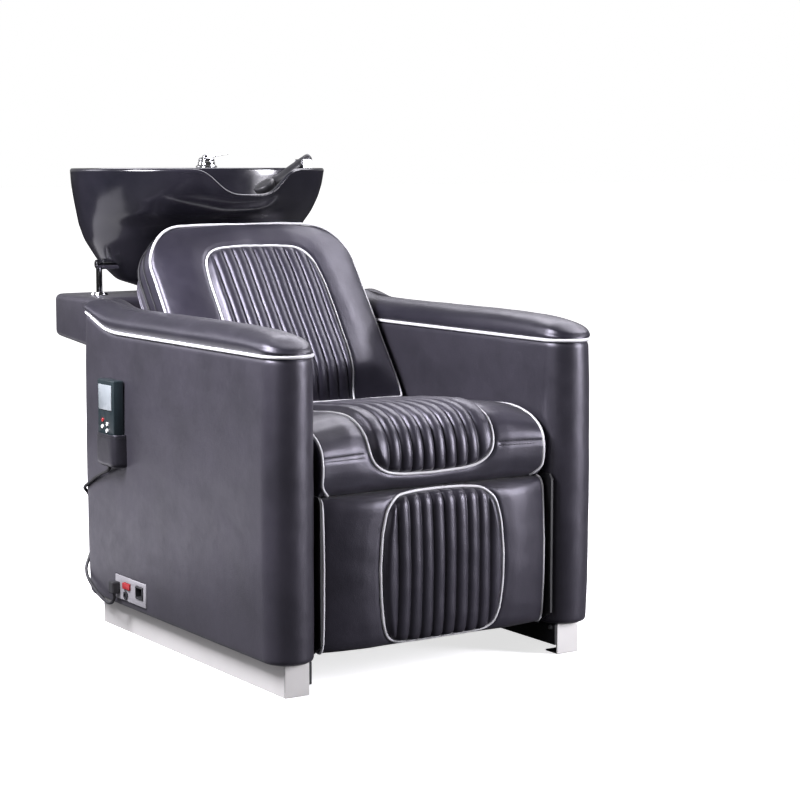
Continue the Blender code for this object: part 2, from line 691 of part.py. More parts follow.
def rocker():
    y, z = ROCKER
    half, height = ROCKER_HALF[0] - 0.0005, ROCKER_HALF[1] - 0.0004
    outline = [(y - half, -0.3725), (y + half, -0.3725), (y + half, -0.3795),
               (y, -0.3768), (y - half, -0.3780)]
    flat = Matrix(((0, 1, 0), (1, 0, 0), (0, 0, -1))).to_4x4()
    return plate("power_rocker", outline, flat, -z - height, -z + height)


def inlet():
    y, z = INLET
    half, height = INLET_HALF
    body = box("mains_inlet", (-0.3770, y - half, z - height), (-0.3420, y + half, z + height), 0.001)
    wall = 0.0032
    pocket = box("inlet_pocket", (-0.3800, y - half + wall, z - height + wall),
                 (-0.3600, y + half - wall, z + height - wall))
    return shape(body, pocket)


def lead_socket():
    body = rod("lead_socket", (-0.3775, *SOCKET), (-0.3450, *SOCKET), 0.0082)
    return shape(body, rod("socket_pocket", (-0.3800, *SOCKET), (-0.3650, *SOCKET), 0.0050, segments=16))


def lead_plug():
    y, z = PLUG
    return box("lead_plug", (-0.3930, y - 0.0100, z - 0.0130), (-0.3746, y + 0.0100, z + 0.0130), 0.003)


def remote_pocket():
    pocket = box("remote_pocket", POCKET_LOW, POCKET_HIGH, 0.004)
    margin = 0.0005
    low = [value - margin for value in REMOTE_LOW]
    high = (REMOTE_HIGH[0] + margin, REMOTE_HIGH[1] + margin, 0.500)
    shape(pocket, box("pocket_space", low, high))
    x, y = CORD_ROUTE[0][:2]
    return shape(pocket, rod("pocket_eyelet", (x, y, 0.350), (x, y, 0.400), 0.0055, segments=16))


def remote_body():
    body = box("remote_body", REMOTE_LOW, REMOTE_HIGH, 0.003)
    for number, (y, z) in enumerate(BUTTON_SPOTS, 1):
        face = REMOTE_LOW[0]
        hole = rod("button_hole_%d" % number, (face - 0.01, y, z), (face + 0.0035, y, z), 0.0048, segments=20)
        shape(body, hole)
    return body


def remote_button(number):
    y, z = BUTTON_SPOTS[number - 1]
    face = REMOTE_LOW[0]
    return rod("remote_button_%d" % number, (face + 0.0015, y, z), (face - 0.0020, y, z), 0.0045, 0.0040, 20)


def cord_points():
    """The lead's route as a smooth run through its own points."""
    route = [Vector(place) for place in CORD_ROUTE]
    points = []
    steps = 3
    for index in range(len(route) - 1):
        before = route[max(index - 1, 0)]
        start, end = route[index], route[index + 1]
        after = route[min(index + 2, len(route) - 1)]
        for step in range(steps):
            t = step / steps
            points.append(0.5 * (2 * start + (end - before) * t
                                 + (2 * before - 5 * start + 4 * end - after) * t * t
                                 + (3 * start - before - 3 * end + after) * t ** 3))
    points.append(route[-1])
    return points


# ---------------------------------------------------------------- assembly

clear_scene()
model = new_collection("shampoo_backwash_unit")
cutters = new_collection("cutters")

leather = material("black leather", (0.020, 0.018, 0.024), 0.0, 0.42)
steel_black = material("black powder coat", (0.025, 0.025, 0.027), 0.3, 0.50)
steel_pale = material("brushed stainless", (0.62, 0.62, 0.63), 1.0, 0.28)
chrome = material("chrome", (0.78, 0.78, 0.80), 1.0, 0.08)
ceramic = material("black glazed ceramic", (0.012, 0.012, 0.016), 0.0, 0.06)
zinc = material("zinc plated steel", (0.45, 0.45, 0.46), 1.0, 0.40)
plastic_black = material("black plastic", (0.020, 0.020, 0.022), 0.0, 0.45)
plastic_grey = material("grey plastic", (0.42, 0.43, 0.45), 0.0, 0.50)
plastic_red = material("red plastic", (0.45, 0.03, 0.03), 0.0, 0.35)
screen_grey = material("display", (0.50, 0.53, 0.54), 0.0, 0.20)
button_white = material("white button", (0.75, 0.75, 0.75), 0.0, 0.40)
rubber = material("rubber", (0.015, 0.015, 0.016), 0.0, 0.65)

unit = empty("unit_frame", (0, 0, 0))
seat_joint = empty("seat_joint", (0, *SLIDE_POINT), unit)
back_joint = empty("back_joint", (0, *BACK_PIVOT), seat_joint)
rear_link_joint = empty("rear_link_joint", (0, *PIVOT_A), seat_joint)
front_link_joint = empty("front_link_joint", (0, *PIVOT_J), rear_link_joint)
legrest_joint = empty("legrest_joint", (0, *PIVOT_B), front_link_joint)
bowl_joint = empty("bowl_joint", (0, POST[1], BOWL_AXIS_Z), unit)
strainer_joint = empty("strainer_joint", (*DRAIN, 0.717), bowl_joint)
shower_joint = empty("shower_joint", SHOWER_DOCK, bowl_joint)
turret_joint = empty("turret_joint", (*MIXER, 0.984), bowl_joint)
lever_joint = empty("lever_joint", (*MIXER, 0.995), turret_joint)
rocker_joint = empty("rocker_joint", (-0.3735, *ROCKER), unit)

for side, tag in ((-1, "left"), (1, "right")):
    finish(plinth(tag + "_plinth", side), steel_pale, unit)
    finish(side_plate(tag + "_side_plate", side), steel_black, unit)
    finish(foot_tab(tag + "_foot_tab", side), steel_black, unit)
    finish(base_plate(tag + "_base_plate", side), steel_black, unit)
    finish(plate_bolt(tag + "_plate_bolt", side), zinc, unit)
    panel = arm_panel(tag + "_arm_panel", side)
    if side < 0:
        shape(panel, power_recess())
    finish(panel, leather, unit)
    finish(arm_pad(tag + "_arm_pad", side), leather, unit)
    finish(seat_rail(tag + "_seat_rail", side), zinc, unit)
    finish(slide_bar(tag + "_seat_runner", side, (0.2403, 0.2560), (0.160, 0.490), 0.0072), zinc, seat_joint)
    finish(bowl_post(tag + "_bowl_post", side), chrome, unit)
    finish(bowl_boss(tag + "_bowl_boss", side), chrome, bowl_joint)

finish(cross_bar("middle_cross_bar", (0.300, 0.330), (0.060, 0.090)), steel_black, unit)
finish(cross_bar("rear_cross_bar", (0.6445, 0.6845), (0.180, 0.225)), steel_black, unit)
finish(box("base_pan", (-0.2642, 0.3305, 0.0600), (0.2642, 0.770, 0.0640)), steel_black, unit)
finish(actuator_tube(), zinc, unit)
finish(actuator_motor(), plastic_black, unit)
finish(box("control_box", (-0.230, 0.470, 0.0643), (-0.080, 0.560, 0.1100), 0.004), plastic_black, unit)
finish(shelf(), leather, unit)

finish(seat_frame(), steel_black, seat_joint)
finish(seat_cushion(), leather, seat_joint)
finish(rod("actuator_rod", (0, 0.2445, actuator_line(0.2445)), (0, 0.560, actuator_line(0.560)), 0.0080),
       steel_pale, seat_joint)

finish(back_frame(), steel_black, back_joint)
finish(plate("back_cushion", back_outline(BACK_HALF, BACK_BOTTOM, BACK_TOP, 0.095), back_stance(),
             -CUSHION_DEPTH, 0.0), leather, back_joint)
finish(plate("back_shell", back_outline(BACK_HALF - 0.004, BACK_BOTTOM, 0.430, 0.090), back_stance(),
             -SHELL_DEPTH[1], -SHELL_DEPTH[0]), leather, back_joint)

finish(link_frame("rear_leg_link", REAR_LINK_X, PIVOT_A, PIVOT_J, 0.2175, [PIVOT_J]), steel_black,
       rear_link_joint)
finish(front_link(), steel_black, front_link_joint)
finish(legrest_board(), steel_black, legrest_joint)
finish(plate("legrest_cushion", LEG_OUTLINE, ALONG_X, -LEG_HALF, LEG_HALF), leather, legrest_joint)

finish(basin(), ceramic, bowl_joint)
finish(drain_tail(), chrome, bowl_joint)
finish(strainer(), chrome, strainer_joint)
mixer_body, mixer_turret, mixer_lever = mixer_pieces()
finish(mixer_body, chrome, bowl_joint)
finish(mixer_turret, chrome, turret_joint)
finish(mixer_lever, chrome, lever_joint)
finish(shower_dock(), chrome, bowl_joint)
finish(hand_shower(), plastic_black, shower_joint)

finish(power_panel(), plastic_grey, unit)
finish(rocker(), plastic_red, rocker_joint)
finish(inlet(), plastic_black, unit)
finish(lead_socket(), plastic_black, unit)
finish(lead_plug(), rubber, unit)
finish(remote_pocket(), leather, unit)
finish(remote_body(), plastic_black, unit)
finish(box("remote_screen", *SCREEN, 0.0006), screen_grey, unit)
for number in range(1, 5):
    button_joint = empty("button_joint_%d" % number, (REMOTE_LOW[0], *BUTTON_SPOTS[number - 1]), unit)
    finish(remote_button(number), plastic_red if number == 1 else button_white, button_joint)
finish(tube("remote_lead", cord_points(), CORD_RADIUS), rubber, unit)

for tool in cutters.objects:
    hang(tool, unit)
unit.location = -Vector(MODEL_CENTRE)
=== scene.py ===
"""Shampoo backwash unit: the visual model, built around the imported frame.

All the numbers below are in metres in the unit's own design coordinates: x = 0 is the middle
plane, y = 0 the front of the arms and z = 0 the floor. DATUM moves them into the frame.
"""

import math

import bmesh
import bpy
import numpy as np
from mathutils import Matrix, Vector


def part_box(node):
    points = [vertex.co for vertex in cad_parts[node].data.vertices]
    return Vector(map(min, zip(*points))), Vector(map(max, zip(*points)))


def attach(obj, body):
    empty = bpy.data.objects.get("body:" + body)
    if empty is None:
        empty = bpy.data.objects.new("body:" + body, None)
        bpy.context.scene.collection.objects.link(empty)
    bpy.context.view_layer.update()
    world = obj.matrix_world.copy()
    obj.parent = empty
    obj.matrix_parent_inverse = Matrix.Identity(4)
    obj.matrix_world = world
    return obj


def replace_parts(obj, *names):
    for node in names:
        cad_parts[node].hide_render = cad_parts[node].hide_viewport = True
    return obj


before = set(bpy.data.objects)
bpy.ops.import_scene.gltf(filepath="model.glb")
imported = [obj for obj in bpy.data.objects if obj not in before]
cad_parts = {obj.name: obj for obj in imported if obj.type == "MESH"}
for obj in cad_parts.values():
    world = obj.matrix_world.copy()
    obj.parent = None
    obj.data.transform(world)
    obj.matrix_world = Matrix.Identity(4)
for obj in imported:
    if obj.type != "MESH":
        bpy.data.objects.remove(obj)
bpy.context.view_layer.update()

ARM_OUT, ARM_IN, ARM_REAR, ARM_FOOT = 0.370, 0.270, 0.810, 0.063
arm_low, arm_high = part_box("left_arm_panel")
DATUM = np.array((arm_low.x + ARM_OUT, arm_high.y - ARM_REAR, 0.0))

PIPING = 0.0031                   # radius of the white piping
CORD_RADIUS = 0.0035
ARM_HALF = 0.050                  # half an arm's thickness
ARM_RISE = 0.571                  # from the foot of an arm's leather to its seam
CAP_RINGS = 5                     # rings that close each end of a pad
STITCH_PITCH = 0.0062             # from one stitch to the next
STITCH_LENGTH = 0.0046
THREAD_RADIUS = 0.0006
BACK_HALF = 0.2535                # half the back cushion's width
BACK_CROWN = 0.012                # how far the middle of the back's top edge stands up


def new_object(name, data):
    obj = bpy.data.objects.new(name, data)
    bpy.context.scene.collection.objects.link(obj)
    return obj


# ---------------------------------------------------------------- camera, lights and floor

def at(x, y, z):
    return Vector((x, y, z)) + Vector(DATUM)


def add_camera():
    """The photograph's own viewpoint, solved from the unit's straight edges."""
    data = bpy.data.cameras.new("camera")
    data.lens = 93.1
    camera = new_object("camera", data)
    camera.location = at(-2.209, -3.212, 0.991)
    camera.rotation_euler = (math.radians(83.34), 0.0, math.radians(-33.27))
    bpy.context.scene.camera = camera


LAMP_TINT = (0.94, 0.92, 1.0)    # the studio's cool white, which tints the leather's sheen


def add_light(name, place, target, size, power, glossy_only=False):
    data = bpy.data.lights.new(name, "AREA")
    data.shape = "RECTANGLE"
    data.size, data.size_y = size
    data.energy = power
    data.color = LAMP_TINT
    lamp = new_object(name, data)
    lamp.location = at(*place)
    lamp.visible_camera = False
    lamp.visible_diffuse = not glossy_only
    lamp.rotation_euler = (at(*target) - lamp.location).to_track_quat("-Z", "Y").to_euler()


def add_world():
    """A white studio that is darker towards the front, where the camera stands."""
    world = bpy.data.worlds.new("studio")
    world.use_nodes = True
    nodes, links = world.node_tree.nodes, world.node_tree.links
    coords = nodes.new("ShaderNodeTexCoord")
    split = nodes.new("ShaderNodeSeparateXYZ")
    links.new(coords.outputs["Generated"], split.inputs[0])
    ramp = nodes.new("ShaderNodeMapRange")
    ramp.inputs["From Min"].default_value = -0.60
    ramp.inputs["From Max"].default_value = 0.70
    ramp.inputs["To Min"].default_value = 0.05
    ramp.inputs["To Max"].default_value = 0.27
    links.new(split.outputs["Y"], ramp.inputs["Value"])
    seen = nodes.new("ShaderNodeLightPath")
    choose = nodes.new("ShaderNodeMix")
    links.new(seen.outputs["Is Camera Ray"], choose.inputs["Factor"])
    links.new(ramp.outputs[0], choose.inputs["A"])
    choose.inputs["B"].default_value = 1.0
    links.new(choose.outputs["Result"], nodes["Background"].inputs["Strength"])
    nodes["Background"].inputs["Color"].default_value = (1, 1, 1, 1)
    bpy.context.scene.world = world


def add_floor():
    skin = bmesh.new()
    bmesh.ops.create_grid(skin, x_segments=8, y_segments=8, size=60.0)
    mesh = bpy.data.meshes.new("floor")
    skin.to_mesh(mesh)
    skin.free()
    floor = new_object("floor", mesh)
    mesh.materials.append(floor_finish())


# ---------------------------------------------------------------- materials

def new_finish(name, colour, roughness, metallic=0.0, **sockets):
    material = bpy.data.materials.new(name)
    material.use_nodes = True
    shader = material.node_tree.nodes["Principled BSDF"]
    shader.inputs["Base Color"].default_value = (*colour, 1.0)
    shader.inputs["Roughness"].default_value = roughness
    shader.inputs["Metallic"].default_value = metallic
    for socket, value in sockets.items():
        shader.inputs[socket.replace("_", " ")].default_value = value
    return material, shader


def add_node(material, kind, **inputs):
    node = material.node_tree.nodes.new("ShaderNode" + kind)
    for socket, value in inputs.items():
        node.inputs[socket.replace("_", " ")].default_value = value
    return node


def object_coords(material, stretch=(1.0, 1.0, 1.0)):
    """Object coordinates, stretched for a directional grain."""
    coords = add_node(material, "TexCoord")
    mapping = add_node(material, "Mapping", Scale=stretch)
    material.node_tree.links.new(coords.outputs["Object"], mapping.inputs["Vector"])
    return mapping.outputs[0]


def noise(material, vector, scale, detail=4.0, roughness=0.55):
    node = add_node(material, "TexNoise", Scale=scale, Detail=detail, Roughness=roughness)
    material.node_tree.links.new(vector, node.inputs["Vector"])
    return node.outputs["Fac"]


def spread(material, factor, low, high, start=0.3, end=0.7):
    """A number that wanders between two values."""
    node = add_node(material, "MapRange")
    node.inputs["From Min"].default_value = start
    node.inputs["From Max"].default_value = end
    node.inputs["To Min"].default_value = low
    node.inputs["To Max"].default_value = high
    material.node_tree.links.new(factor, node.inputs["Value"])
    return node.outputs[0]


def tint(material, factor, dark, light):
    ramp = add_node(material, "ValToRGB")
    ramp.color_ramp.elements[0].position = 0.30
    ramp.color_ramp.elements[0].color = (*dark, 1.0)
    ramp.color_ramp.elements[1].position = 0.72
    ramp.color_ramp.elements[1].color = (*light, 1.0)
    material.node_tree.links.new(factor, ramp.inputs["Fac"])
    return ramp.outputs["Color"]


def add_bump(material, shader, heights):
    """Chain of bumps from (height output, strength, distance)."""
    links = material.node_tree.links
    normal = None
    for height, strength, distance in heights:
        bump = add_node(material, "Bump", Strength=strength, Distance=distance)
        links.new(height, bump.inputs["Height"])
        if normal is not None:
            links.new(normal, bump.inputs["Normal"])
        normal = bump.outputs[0]
    links.new(normal, shader.inputs["Normal"])


def paint(material, shader, factor, dark, light):
    material.node_tree.links.new(tint(material, factor, dark, light), shader.inputs["Base Color"])


def polish(material, shader, factor, low, high):
    material.node_tree.links.new(spread(material, factor, low, high), shader.inputs["Roughness"])


def floor_finish():
    """Pale studio floor. Only the camera sees it bright, so it throws no light back up."""
    material, shader = new_finish("studio_floor", (0.93, 0.93, 0.935), 0.75)
    shader.inputs["Emission Color"].default_value = (1, 1, 1, 1)
    vector = object_coords(material)
    links = material.node_tree.links
    # The glow is painted light that whitens the floor for the camera. It is weaker near the middle and
    # stronger far off, so the floor round the unit is painted darker, a painted shade.
    reach = add_node(material, "VectorMath")
    reach.operation = "LENGTH"
    links.new(vector, reach.inputs[0])
    glow = spread(material, reach.outputs["Value"], 0.72, 1.1, 0.6, 1.6)
    seen = add_node(material, "LightPath")
    shown = add_node(material, "Math")
    shown.operation = "MULTIPLY"
    links.new(glow, shown.inputs[0])
    links.new(seen.outputs["Is Camera Ray"], shown.inputs[1])
    links.new(shown.outputs[0], shader.inputs["Emission Strength"])
    paint(material, shader, seen.outputs["Is Camera Ray"], (0.03, 0.03, 0.031), (0.93, 0.93, 0.935))
    polish(material, shader, noise(material, vector, 3.0), 0.68, 0.80)
    add_bump(material, shader, [(noise(material, vector, 60.0), 0.04, 0.001)])
    return material


def leather_finish(name, dark, light, rough=(0.32, 0.42), wrinkle=0.35):
    """Coated black hide: pebbled grain, faint creasing, uneven sheen."""
    material, shader = new_finish(name, light, 0.42, Coat_Weight=0.08, Coat_Roughness=0.35,
                                  Sheen_Weight=0.05, Sheen_Roughness=0.5)
    shader.inputs["Specular Tint"].default_value = (0.90, 0.87, 1.0, 1.0)
    shader.inputs["Coat Tint"].default_value = (0.95, 0.93, 1.0, 1.0)
    vector = object_coords(material)
    paint(material, shader, noise(material, vector, 9.0, 5.0), dark, light)
    polish(material, shader, noise(material, vector, 38.0, 3.0), *rough)
    cells = add_node(material, "TexVoronoi", Scale=620.0)
    material.node_tree.links.new(vector, cells.inputs["Vector"])
    creases = noise(material, vector, 70.0, 6.0, 0.62)
    add_bump(material, shader, [(creases, wrinkle, 0.0010), (cells.outputs["Distance"], 0.30, 0.0005)])
    return material


def vinyl_finish():
    """The piping's white cover, not quite evenly clean."""
    material, shader = new_finish("white_piping", (0.61, 0.61, 0.62), 0.45, Coat_Weight=0.15)
    vector = object_coords(material)
    paint(material, shader, noise(material, vector, 22.0), (0.56, 0.56, 0.57), (0.66, 0.66, 0.67))
    polish(material, shader, noise(material, vector, 90.0), 0.38, 0.52)
    add_bump(material, shader, [(noise(material, vector, 700.0, 3.0), 0.25, 0.0004)])
    return material


def brushed_finish(name, dark, light, rough, stretch, metallic=1.0):
    """Sheet metal with a directional or plain grain, given by stretch."""
    material, shader = new_finish(name, light, sum(rough) / 2, metallic)
    streaks = noise(material, object_coords(material, stretch), 90.0, 6.0, 0.7)
    clouds = noise(material, object_coords(material), 6.0, 3.0)
    paint(material, shader, clouds, dark, light)
    polish(material, shader, streaks, *rough)
    add_bump(material, shader, [(streaks, 0.10, 0.0003)])
    return material


def chrome_finish():
    material, shader = new_finish("polished_chrome", (0.80, 0.80, 0.82), 0.09, 1.0)
    vector = object_coords(material)
    smear = noise(material, vector, 45.0, 5.0)
    polish(material, shader, smear, 0.04, 0.12)
    paint(material, shader, smear, (0.70, 0.70, 0.73), (0.84, 0.84, 0.86))
    add_bump(material, shader, [(noise(material, vector, 260.0), 0.03, 0.0003)])
    return material


def glaze_finish():
    """Fired black glaze: deep, wavy and wet looking."""
    material, shader = new_finish("black_glaze", (0.010, 0.010, 0.014), 0.10,
                                  Coat_Weight=0.35, Coat_Roughness=0.16, Coat_IOR=1.5)
    vector = object_coords(material)
    pool = noise(material, vector, 7.0, 3.0)
    paint(material, shader, pool, (0.007, 0.007, 0.010), (0.016, 0.015, 0.021))
    polish(material, shader, noise(material, vector, 30.0), 0.17, 0.25)
    ripple = noise(material, vector, 9.0, 1.0, 0.4)
    add_bump(material, shader, [(ripple, 0.020, 0.004), (noise(material, vector, 420.0), 0.02, 0.0003)])
    return material


def plastic_finish(name, dark, light, rough, texture=0.25):
    material, shader = new_finish(name, light, sum(rough) / 2)
    vector = object_coords(material)
    paint(material, shader, noise(material, vector, 26.0), dark, light)
    polish(material, shader, noise(material, vector, 120.0), *rough)
    add_bump(material, shader, [(noise(material, vector, 1500.0, 2.0), texture, 0.0002)])
    return material


def powder_finish():
    """Powder coat with orange peel and a dusty, uneven tone."""
    material, shader = new_finish("black_powder_coat", (0.010, 0.010, 0.011), 0.55)
    vector = object_coords(material)
    dust = noise(material, vector, 14.0, 5.0)
    paint(material, shader, dust, (0.007, 0.007, 0.008), (0.014, 0.014, 0.015))
    polish(material, shader, dust, 0.42, 0.60)
    add_bump(material, shader, [(noise(material, vector, 900.0, 2.0), 0.35, 0.0004)])
    return material


# ---------------------------------------------------------------- mesh helpers

def piece(name, verts, faces, finish, body, slot, shade=True):
    """A finished mesh piece, moved into the frame, riding on its body."""
    mesh = bpy.data.meshes.new(name)
    places = np.asarray(verts, float) + DATUM
    mesh.from_pydata(places.tolist(), [], [tuple(face) for face in faces])
    skin = bmesh.new()
    skin.from_mesh(mesh)
    bmesh.ops.remove_doubles(skin, verts=skin.verts, dist=1e-6)
    bmesh.ops.recalc_face_normals(skin, faces=skin.faces)
    for face in skin.faces:
        face.smooth = shade
    skin.to_mesh(mesh)
    skin.free()
    obj = new_object(name, mesh)
    mesh.materials.append(finish)
    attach(obj, body)
    return obj


def grid_faces(rows, columns, wrap_rows=False, wrap_columns=False):
    """Four-sided faces of a grid of points listed row by row."""
    faces = []
    for row in range(rows if wrap_rows else rows - 1):
        below = (row + 1) % rows
        for column in range(columns if wrap_columns else columns - 1):
            beside = (column + 1) % columns
            faces.append((row * columns + column, row * columns + beside,
                          below * columns + beside, below * columns + column))
    return faces


def capped(rings):
    """Verts and faces of a row of closed rings, with a flat cap on the first and the last."""
    count = len(rings[0])
    verts = np.concatenate(rings)
    faces = grid_faces(len(rings), count, wrap_columns=True)
    faces.append(tuple(range(count)))
    faces.append(tuple(reversed(range(len(verts) - count, len(verts)))))
    return verts, faces


def resample(points, step, closed=False):
    """Even points along a path."""
    points = np.asarray(points, float)
    if closed:
        points = np.vstack([points, points[:1]])
    lengths = np.linalg.norm(np.diff(points, axis=0), axis=1)
    along = np.concatenate([[0.0], np.cumsum(lengths)])
    count = max(2, int(round(along[-1] / step)))
    wanted = np.linspace(0.0, along[-1], count + 1)
    if closed:
        wanted = wanted[:-1]
    return np.stack([np.interp(wanted, along, points[:, axis]) for axis in range(points.shape[1])], 1)


def smoothed(points, passes, closed=False):
    """Relax a path's corners."""
    points = np.array(points, float)
    for _ in range(passes):
        if closed:
            points = (np.roll(points, 1, 0) + 2 * points + np.roll(points, -1, 0)) / 4
        else:
            points[1:-1] = (points[:-2] + 2 * points[1:-1] + points[2:]) / 4
    return points


def tube_mesh(points, radius, sides=10, closed=False):
    """Verts and faces of a round tube along a path, with capped ends unless it is closed."""
    points = np.asarray(points, float)
    if closed:
        tangents = np.roll(points, -1, 0) - np.roll(points, 1, 0)
    else:
        tangents = np.gradient(points, axis=0)
    tangents /= np.linalg.norm(tangents, axis=1)[:, None] + 1e-12
    guide = np.array((0.0, 0.0, 1.0))
    if abs(tangents[0] @ guide) > 0.9:
        guide = np.array((1.0, 0.0, 0.0))
    side = np.cross(tangents[0], guide)
    side /= np.linalg.norm(side)
    frames = []
    for tangent in tangents:
        side = side - tangent * (side @ tangent)
        side /= np.linalg.norm(side)
        frames.append(side)
    frames = np.array(frames)
    radii = np.full(len(points), radius) if np.isscalar(radius) else np.asarray(radius, float)
    if closed:
        # spread the frame's twist so that the last ring meets the first
        across = np.cross(tangents[0], frames[0])
        twist = math.atan2(frames[-1] @ across, frames[-1] @ frames[0])
        turn = -twist * np.arange(len(points)) / len(points)
    else:
        turn = np.zeros(len(points))
    angles = np.linspace(0, 2 * math.pi, sides, endpoint=False)
    rings = []
    for point, tangent, side, size, extra in zip(points, tangents, frames, radii, turn):
        other = np.cross(tangent, side)
        rings.append([point + size * (math.cos(angle) * side + math.sin(angle) * other)
                      for angle in angles + extra])
    if closed:
        return np.concatenate(rings), grid_faces(len(rings), sides, wrap_rows=True, wrap_columns=True)
    return capped(rings)


def gathered(name, meshes, finish, body, slot, shade=True):
    """Several small meshes as one piece."""
    verts, faces = [], []
    for part_verts, part_faces in meshes:
        first = len(verts)
        verts.extend(part_verts)
        faces.extend(tuple(first + index for index in face) for face in part_faces)
    return piece(name, verts, faces, finish, body, slot, shade)


def step_up(value, low, high):
    """A smooth step from 0 at low to 1 at high."""
    t = np.clip((value - low) / (high - low), 0.0, 1.0)
    return t * t * (3 - 2 * t)


def distance_to(path, across, along):
    """Distance of every grid point to an outline, in the pad's own flat coordinates."""
    path = np.asarray(path, float)
    best = np.full(across.shape, 9.0)
    for start, end in zip(path, np.roll(path, -1, 0)):
        run = end - start
        length = run @ run + 1e-12
        t = np.clip(((across - start[0]) * run[0] + (along - start[1]) * run[1]) / length, 0, 1)
        best = np.minimum(best, np.hypot(across - start[0] - t * run[0], along - start[1] - t * run[1]))
    return best


def inside_of(path, across, along):
    """Which grid points lie inside an outline."""
    path = np.asarray(path, float)
    hit = np.zeros(across.shape, bool)
    for (x0, y0), (x1, y1) in zip(path, np.roll(path, -1, 0)):
        if y0 == y1:
            continue
        crosses = (y0 > along) != (y1 > along)
        hit ^= crosses & (across < x0 + (along - y0) * (x1 - x0) / (y1 - y0))
    return hit


class Pad:
    """A stuffed pad: a closed side profile carried across x, its ends rolled over and filled.

    profile is a closed (y, z) loop. A point on the surface is (x, s), with s the distance along
    the loop. displace(x, s) moves the surface outwards.
    """

    def __init__(self, half, profile, columns, roll, relax=3):
        loop = resample(profile, 0.004, closed=True)
        loop = smoothed(loop, relax, closed=True)
        self.loop = loop
        self.count = len(loop)
        gaps = np.linalg.norm(np.roll(loop, -1, 0) - loop, axis=1)
        self.s = np.concatenate([[0.0], np.cumsum(gaps)])[:-1]
        self.total = gaps.sum()
        run = np.roll(loop, -1, 0) - np.roll(loop, 1, 0)
        run /= np.linalg.norm(run, axis=1)[:, None]
        area = 0.5 * np.sum(loop[:, 0] * np.roll(loop[:, 1], -1) - np.roll(loop[:, 0], -1) * loop[:, 1])
        turn = 1.0 if area > 0 else -1.0
        self.normal = np.stack([run[:, 1], -run[:, 0]], 1) * turn
        self.half, self.roll = half, roll
        self.x = np.array(columns, float)

    def s_of(self, y, z):
        """Where on the loop a side point lies."""
        return self.s[np.argmin((self.loop[:, 0] - y) ** 2 + (self.loop[:, 1] - z) ** 2)]

    def build(self, displace):
        """Carry the profile across x, push it out by displace(x, s) and roll the ends over."""
        across, along = np.meshgrid(self.x, self.s, indexing="ij")
        push = displace(across, along)
        near = np.clip((np.abs(across) - (self.half - self.roll)) / self.roll, 0.0, 1.0)
        inset = self.roll * (1 - np.sqrt(np.clip(1 - near ** 2, 0, 1)))
        move = push * (1 - near ** 4) - inset
        self.grid = np.stack([across, self.loop[None, :, 0] + self.normal[None, :, 0] * move,
                              self.loop[None, :, 1] + self.normal[None, :, 1] * move], 2)
        return self

    def mesh(self):
        """Verts and faces, with each end drawn in to a point."""
        columns = self.grid.shape[1]
        rings = list(self.grid)
        lead, tail = [], []
        for end, ring in ((lead, rings[0]), (tail, rings[-1])):
            middle = ring.mean(0)
            for step in range(1, CAP_RINGS + 1):
                t = step / (CAP_RINGS + 1)
                shrunk = middle + (ring - middle) * (1 - t)
                shrunk[:, 0] = ring[:, 0]
                end.append(shrunk)
        rings = lead[::-1] + rings + tail
        verts = np.concatenate(rings)
        faces = grid_faces(len(rings), columns, wrap_columns=True)
        total = len(rings)
        for ring, flip in ((0, False), (total - 1, True)):
            centre = rings[ring].mean(0)
            verts = np.vstack([verts, centre])
            hub = len(verts) - 1
            for column in range(columns):
                beside = (column + 1) % columns
                face = (hub, ring * columns + column, ring * columns + beside)
                faces.append(face if flip else face[::-1])
        return verts, faces

    def on(self, across, along, lift=0.0):
        """The surface point at (x, s), raised along its normal."""
        x = np.clip(across, self.x[0], self.x[-1])
        row = np.clip(np.searchsorted(self.x, x) - 1, 0, len(self.x) - 2)
        u = (x - self.x[row]) / (self.x[row + 1] - self.x[row])
        s = along % self.total
        column = int(np.clip(np.searchsorted(self.s, s) - 1, 0, self.count - 1))
        after = (column + 1) % self.count
        end = self.total if after == 0 else self.s[after]
        v = (s - self.s[column]) / max(end - self.s[column], 1e-9)
        grid = self.grid
        spot = ((1 - u) * (1 - v) * grid[row, column] + u * (1 - v) * grid[row + 1, column]
                + (1 - u) * v * grid[row, after] + u * v * grid[row + 1, after])
        normal = (1 - v) * self.normal[column] + v * self.normal[after]
        return spot + lift * np.array((0.0, *normal))

    def line(self, path, lift, relax=3, closed=False):
        """A path of (x, s) points laid on the surface."""
        points = np.array([self.on(x, s, lift) for x, s in path])
        return smoothed(points, relax, closed)


def fine_columns(half, panel, fine, coarse, roll):
    """Column positions: fine over the channelled panel, coarse beside it, close at the rolled ends."""
    middle = np.arange(-panel, panel + fine / 2, fine)
    side = np.arange(panel + coarse, half - roll, coarse)
    end = half - roll + roll * np.sin(np.linspace(0, math.pi / 2, 9))
    positive = np.concatenate([side, end])
    return np.unique(np.round(np.concatenate([-positive[::-1], middle, positive]), 6))


def channels(across, centres, puff):
    """Rounded rolls between seams; zero at a seam, puff in the middle of a roll."""
    height = np.zeros(across.shape)
    for left, right in zip(centres, centres[1:]):
        t = np.clip((across - left) / (right - left), 0, 1)
        roll = np.clip(1 - np.abs(2 * t - 1) ** 2.4, 0, 1) ** 0.55
        height = np.where((across >= left) & (across < right), puff * roll, height)
    return height


def stitch_row(name, pad, path, body):
    """A row of single thread stitches lying on a pad."""
    line = resample(pad.line(resample(path, 0.002), 0.0004, 1), STITCH_PITCH)
    meshes = []
    for start, end in zip(line, line[1:]):
        run = end - start
        size = np.linalg.norm(run)
        tip = start + run * min(1.0, STITCH_LENGTH / size)
        middle = (start + tip) / 2
        meshes.append(tube_mesh([start, start * 0.5 + middle * 0.5, middle, tip], THREAD_RADIUS, 5))
    return gathered(name, meshes, THREAD, body, "black_leather")


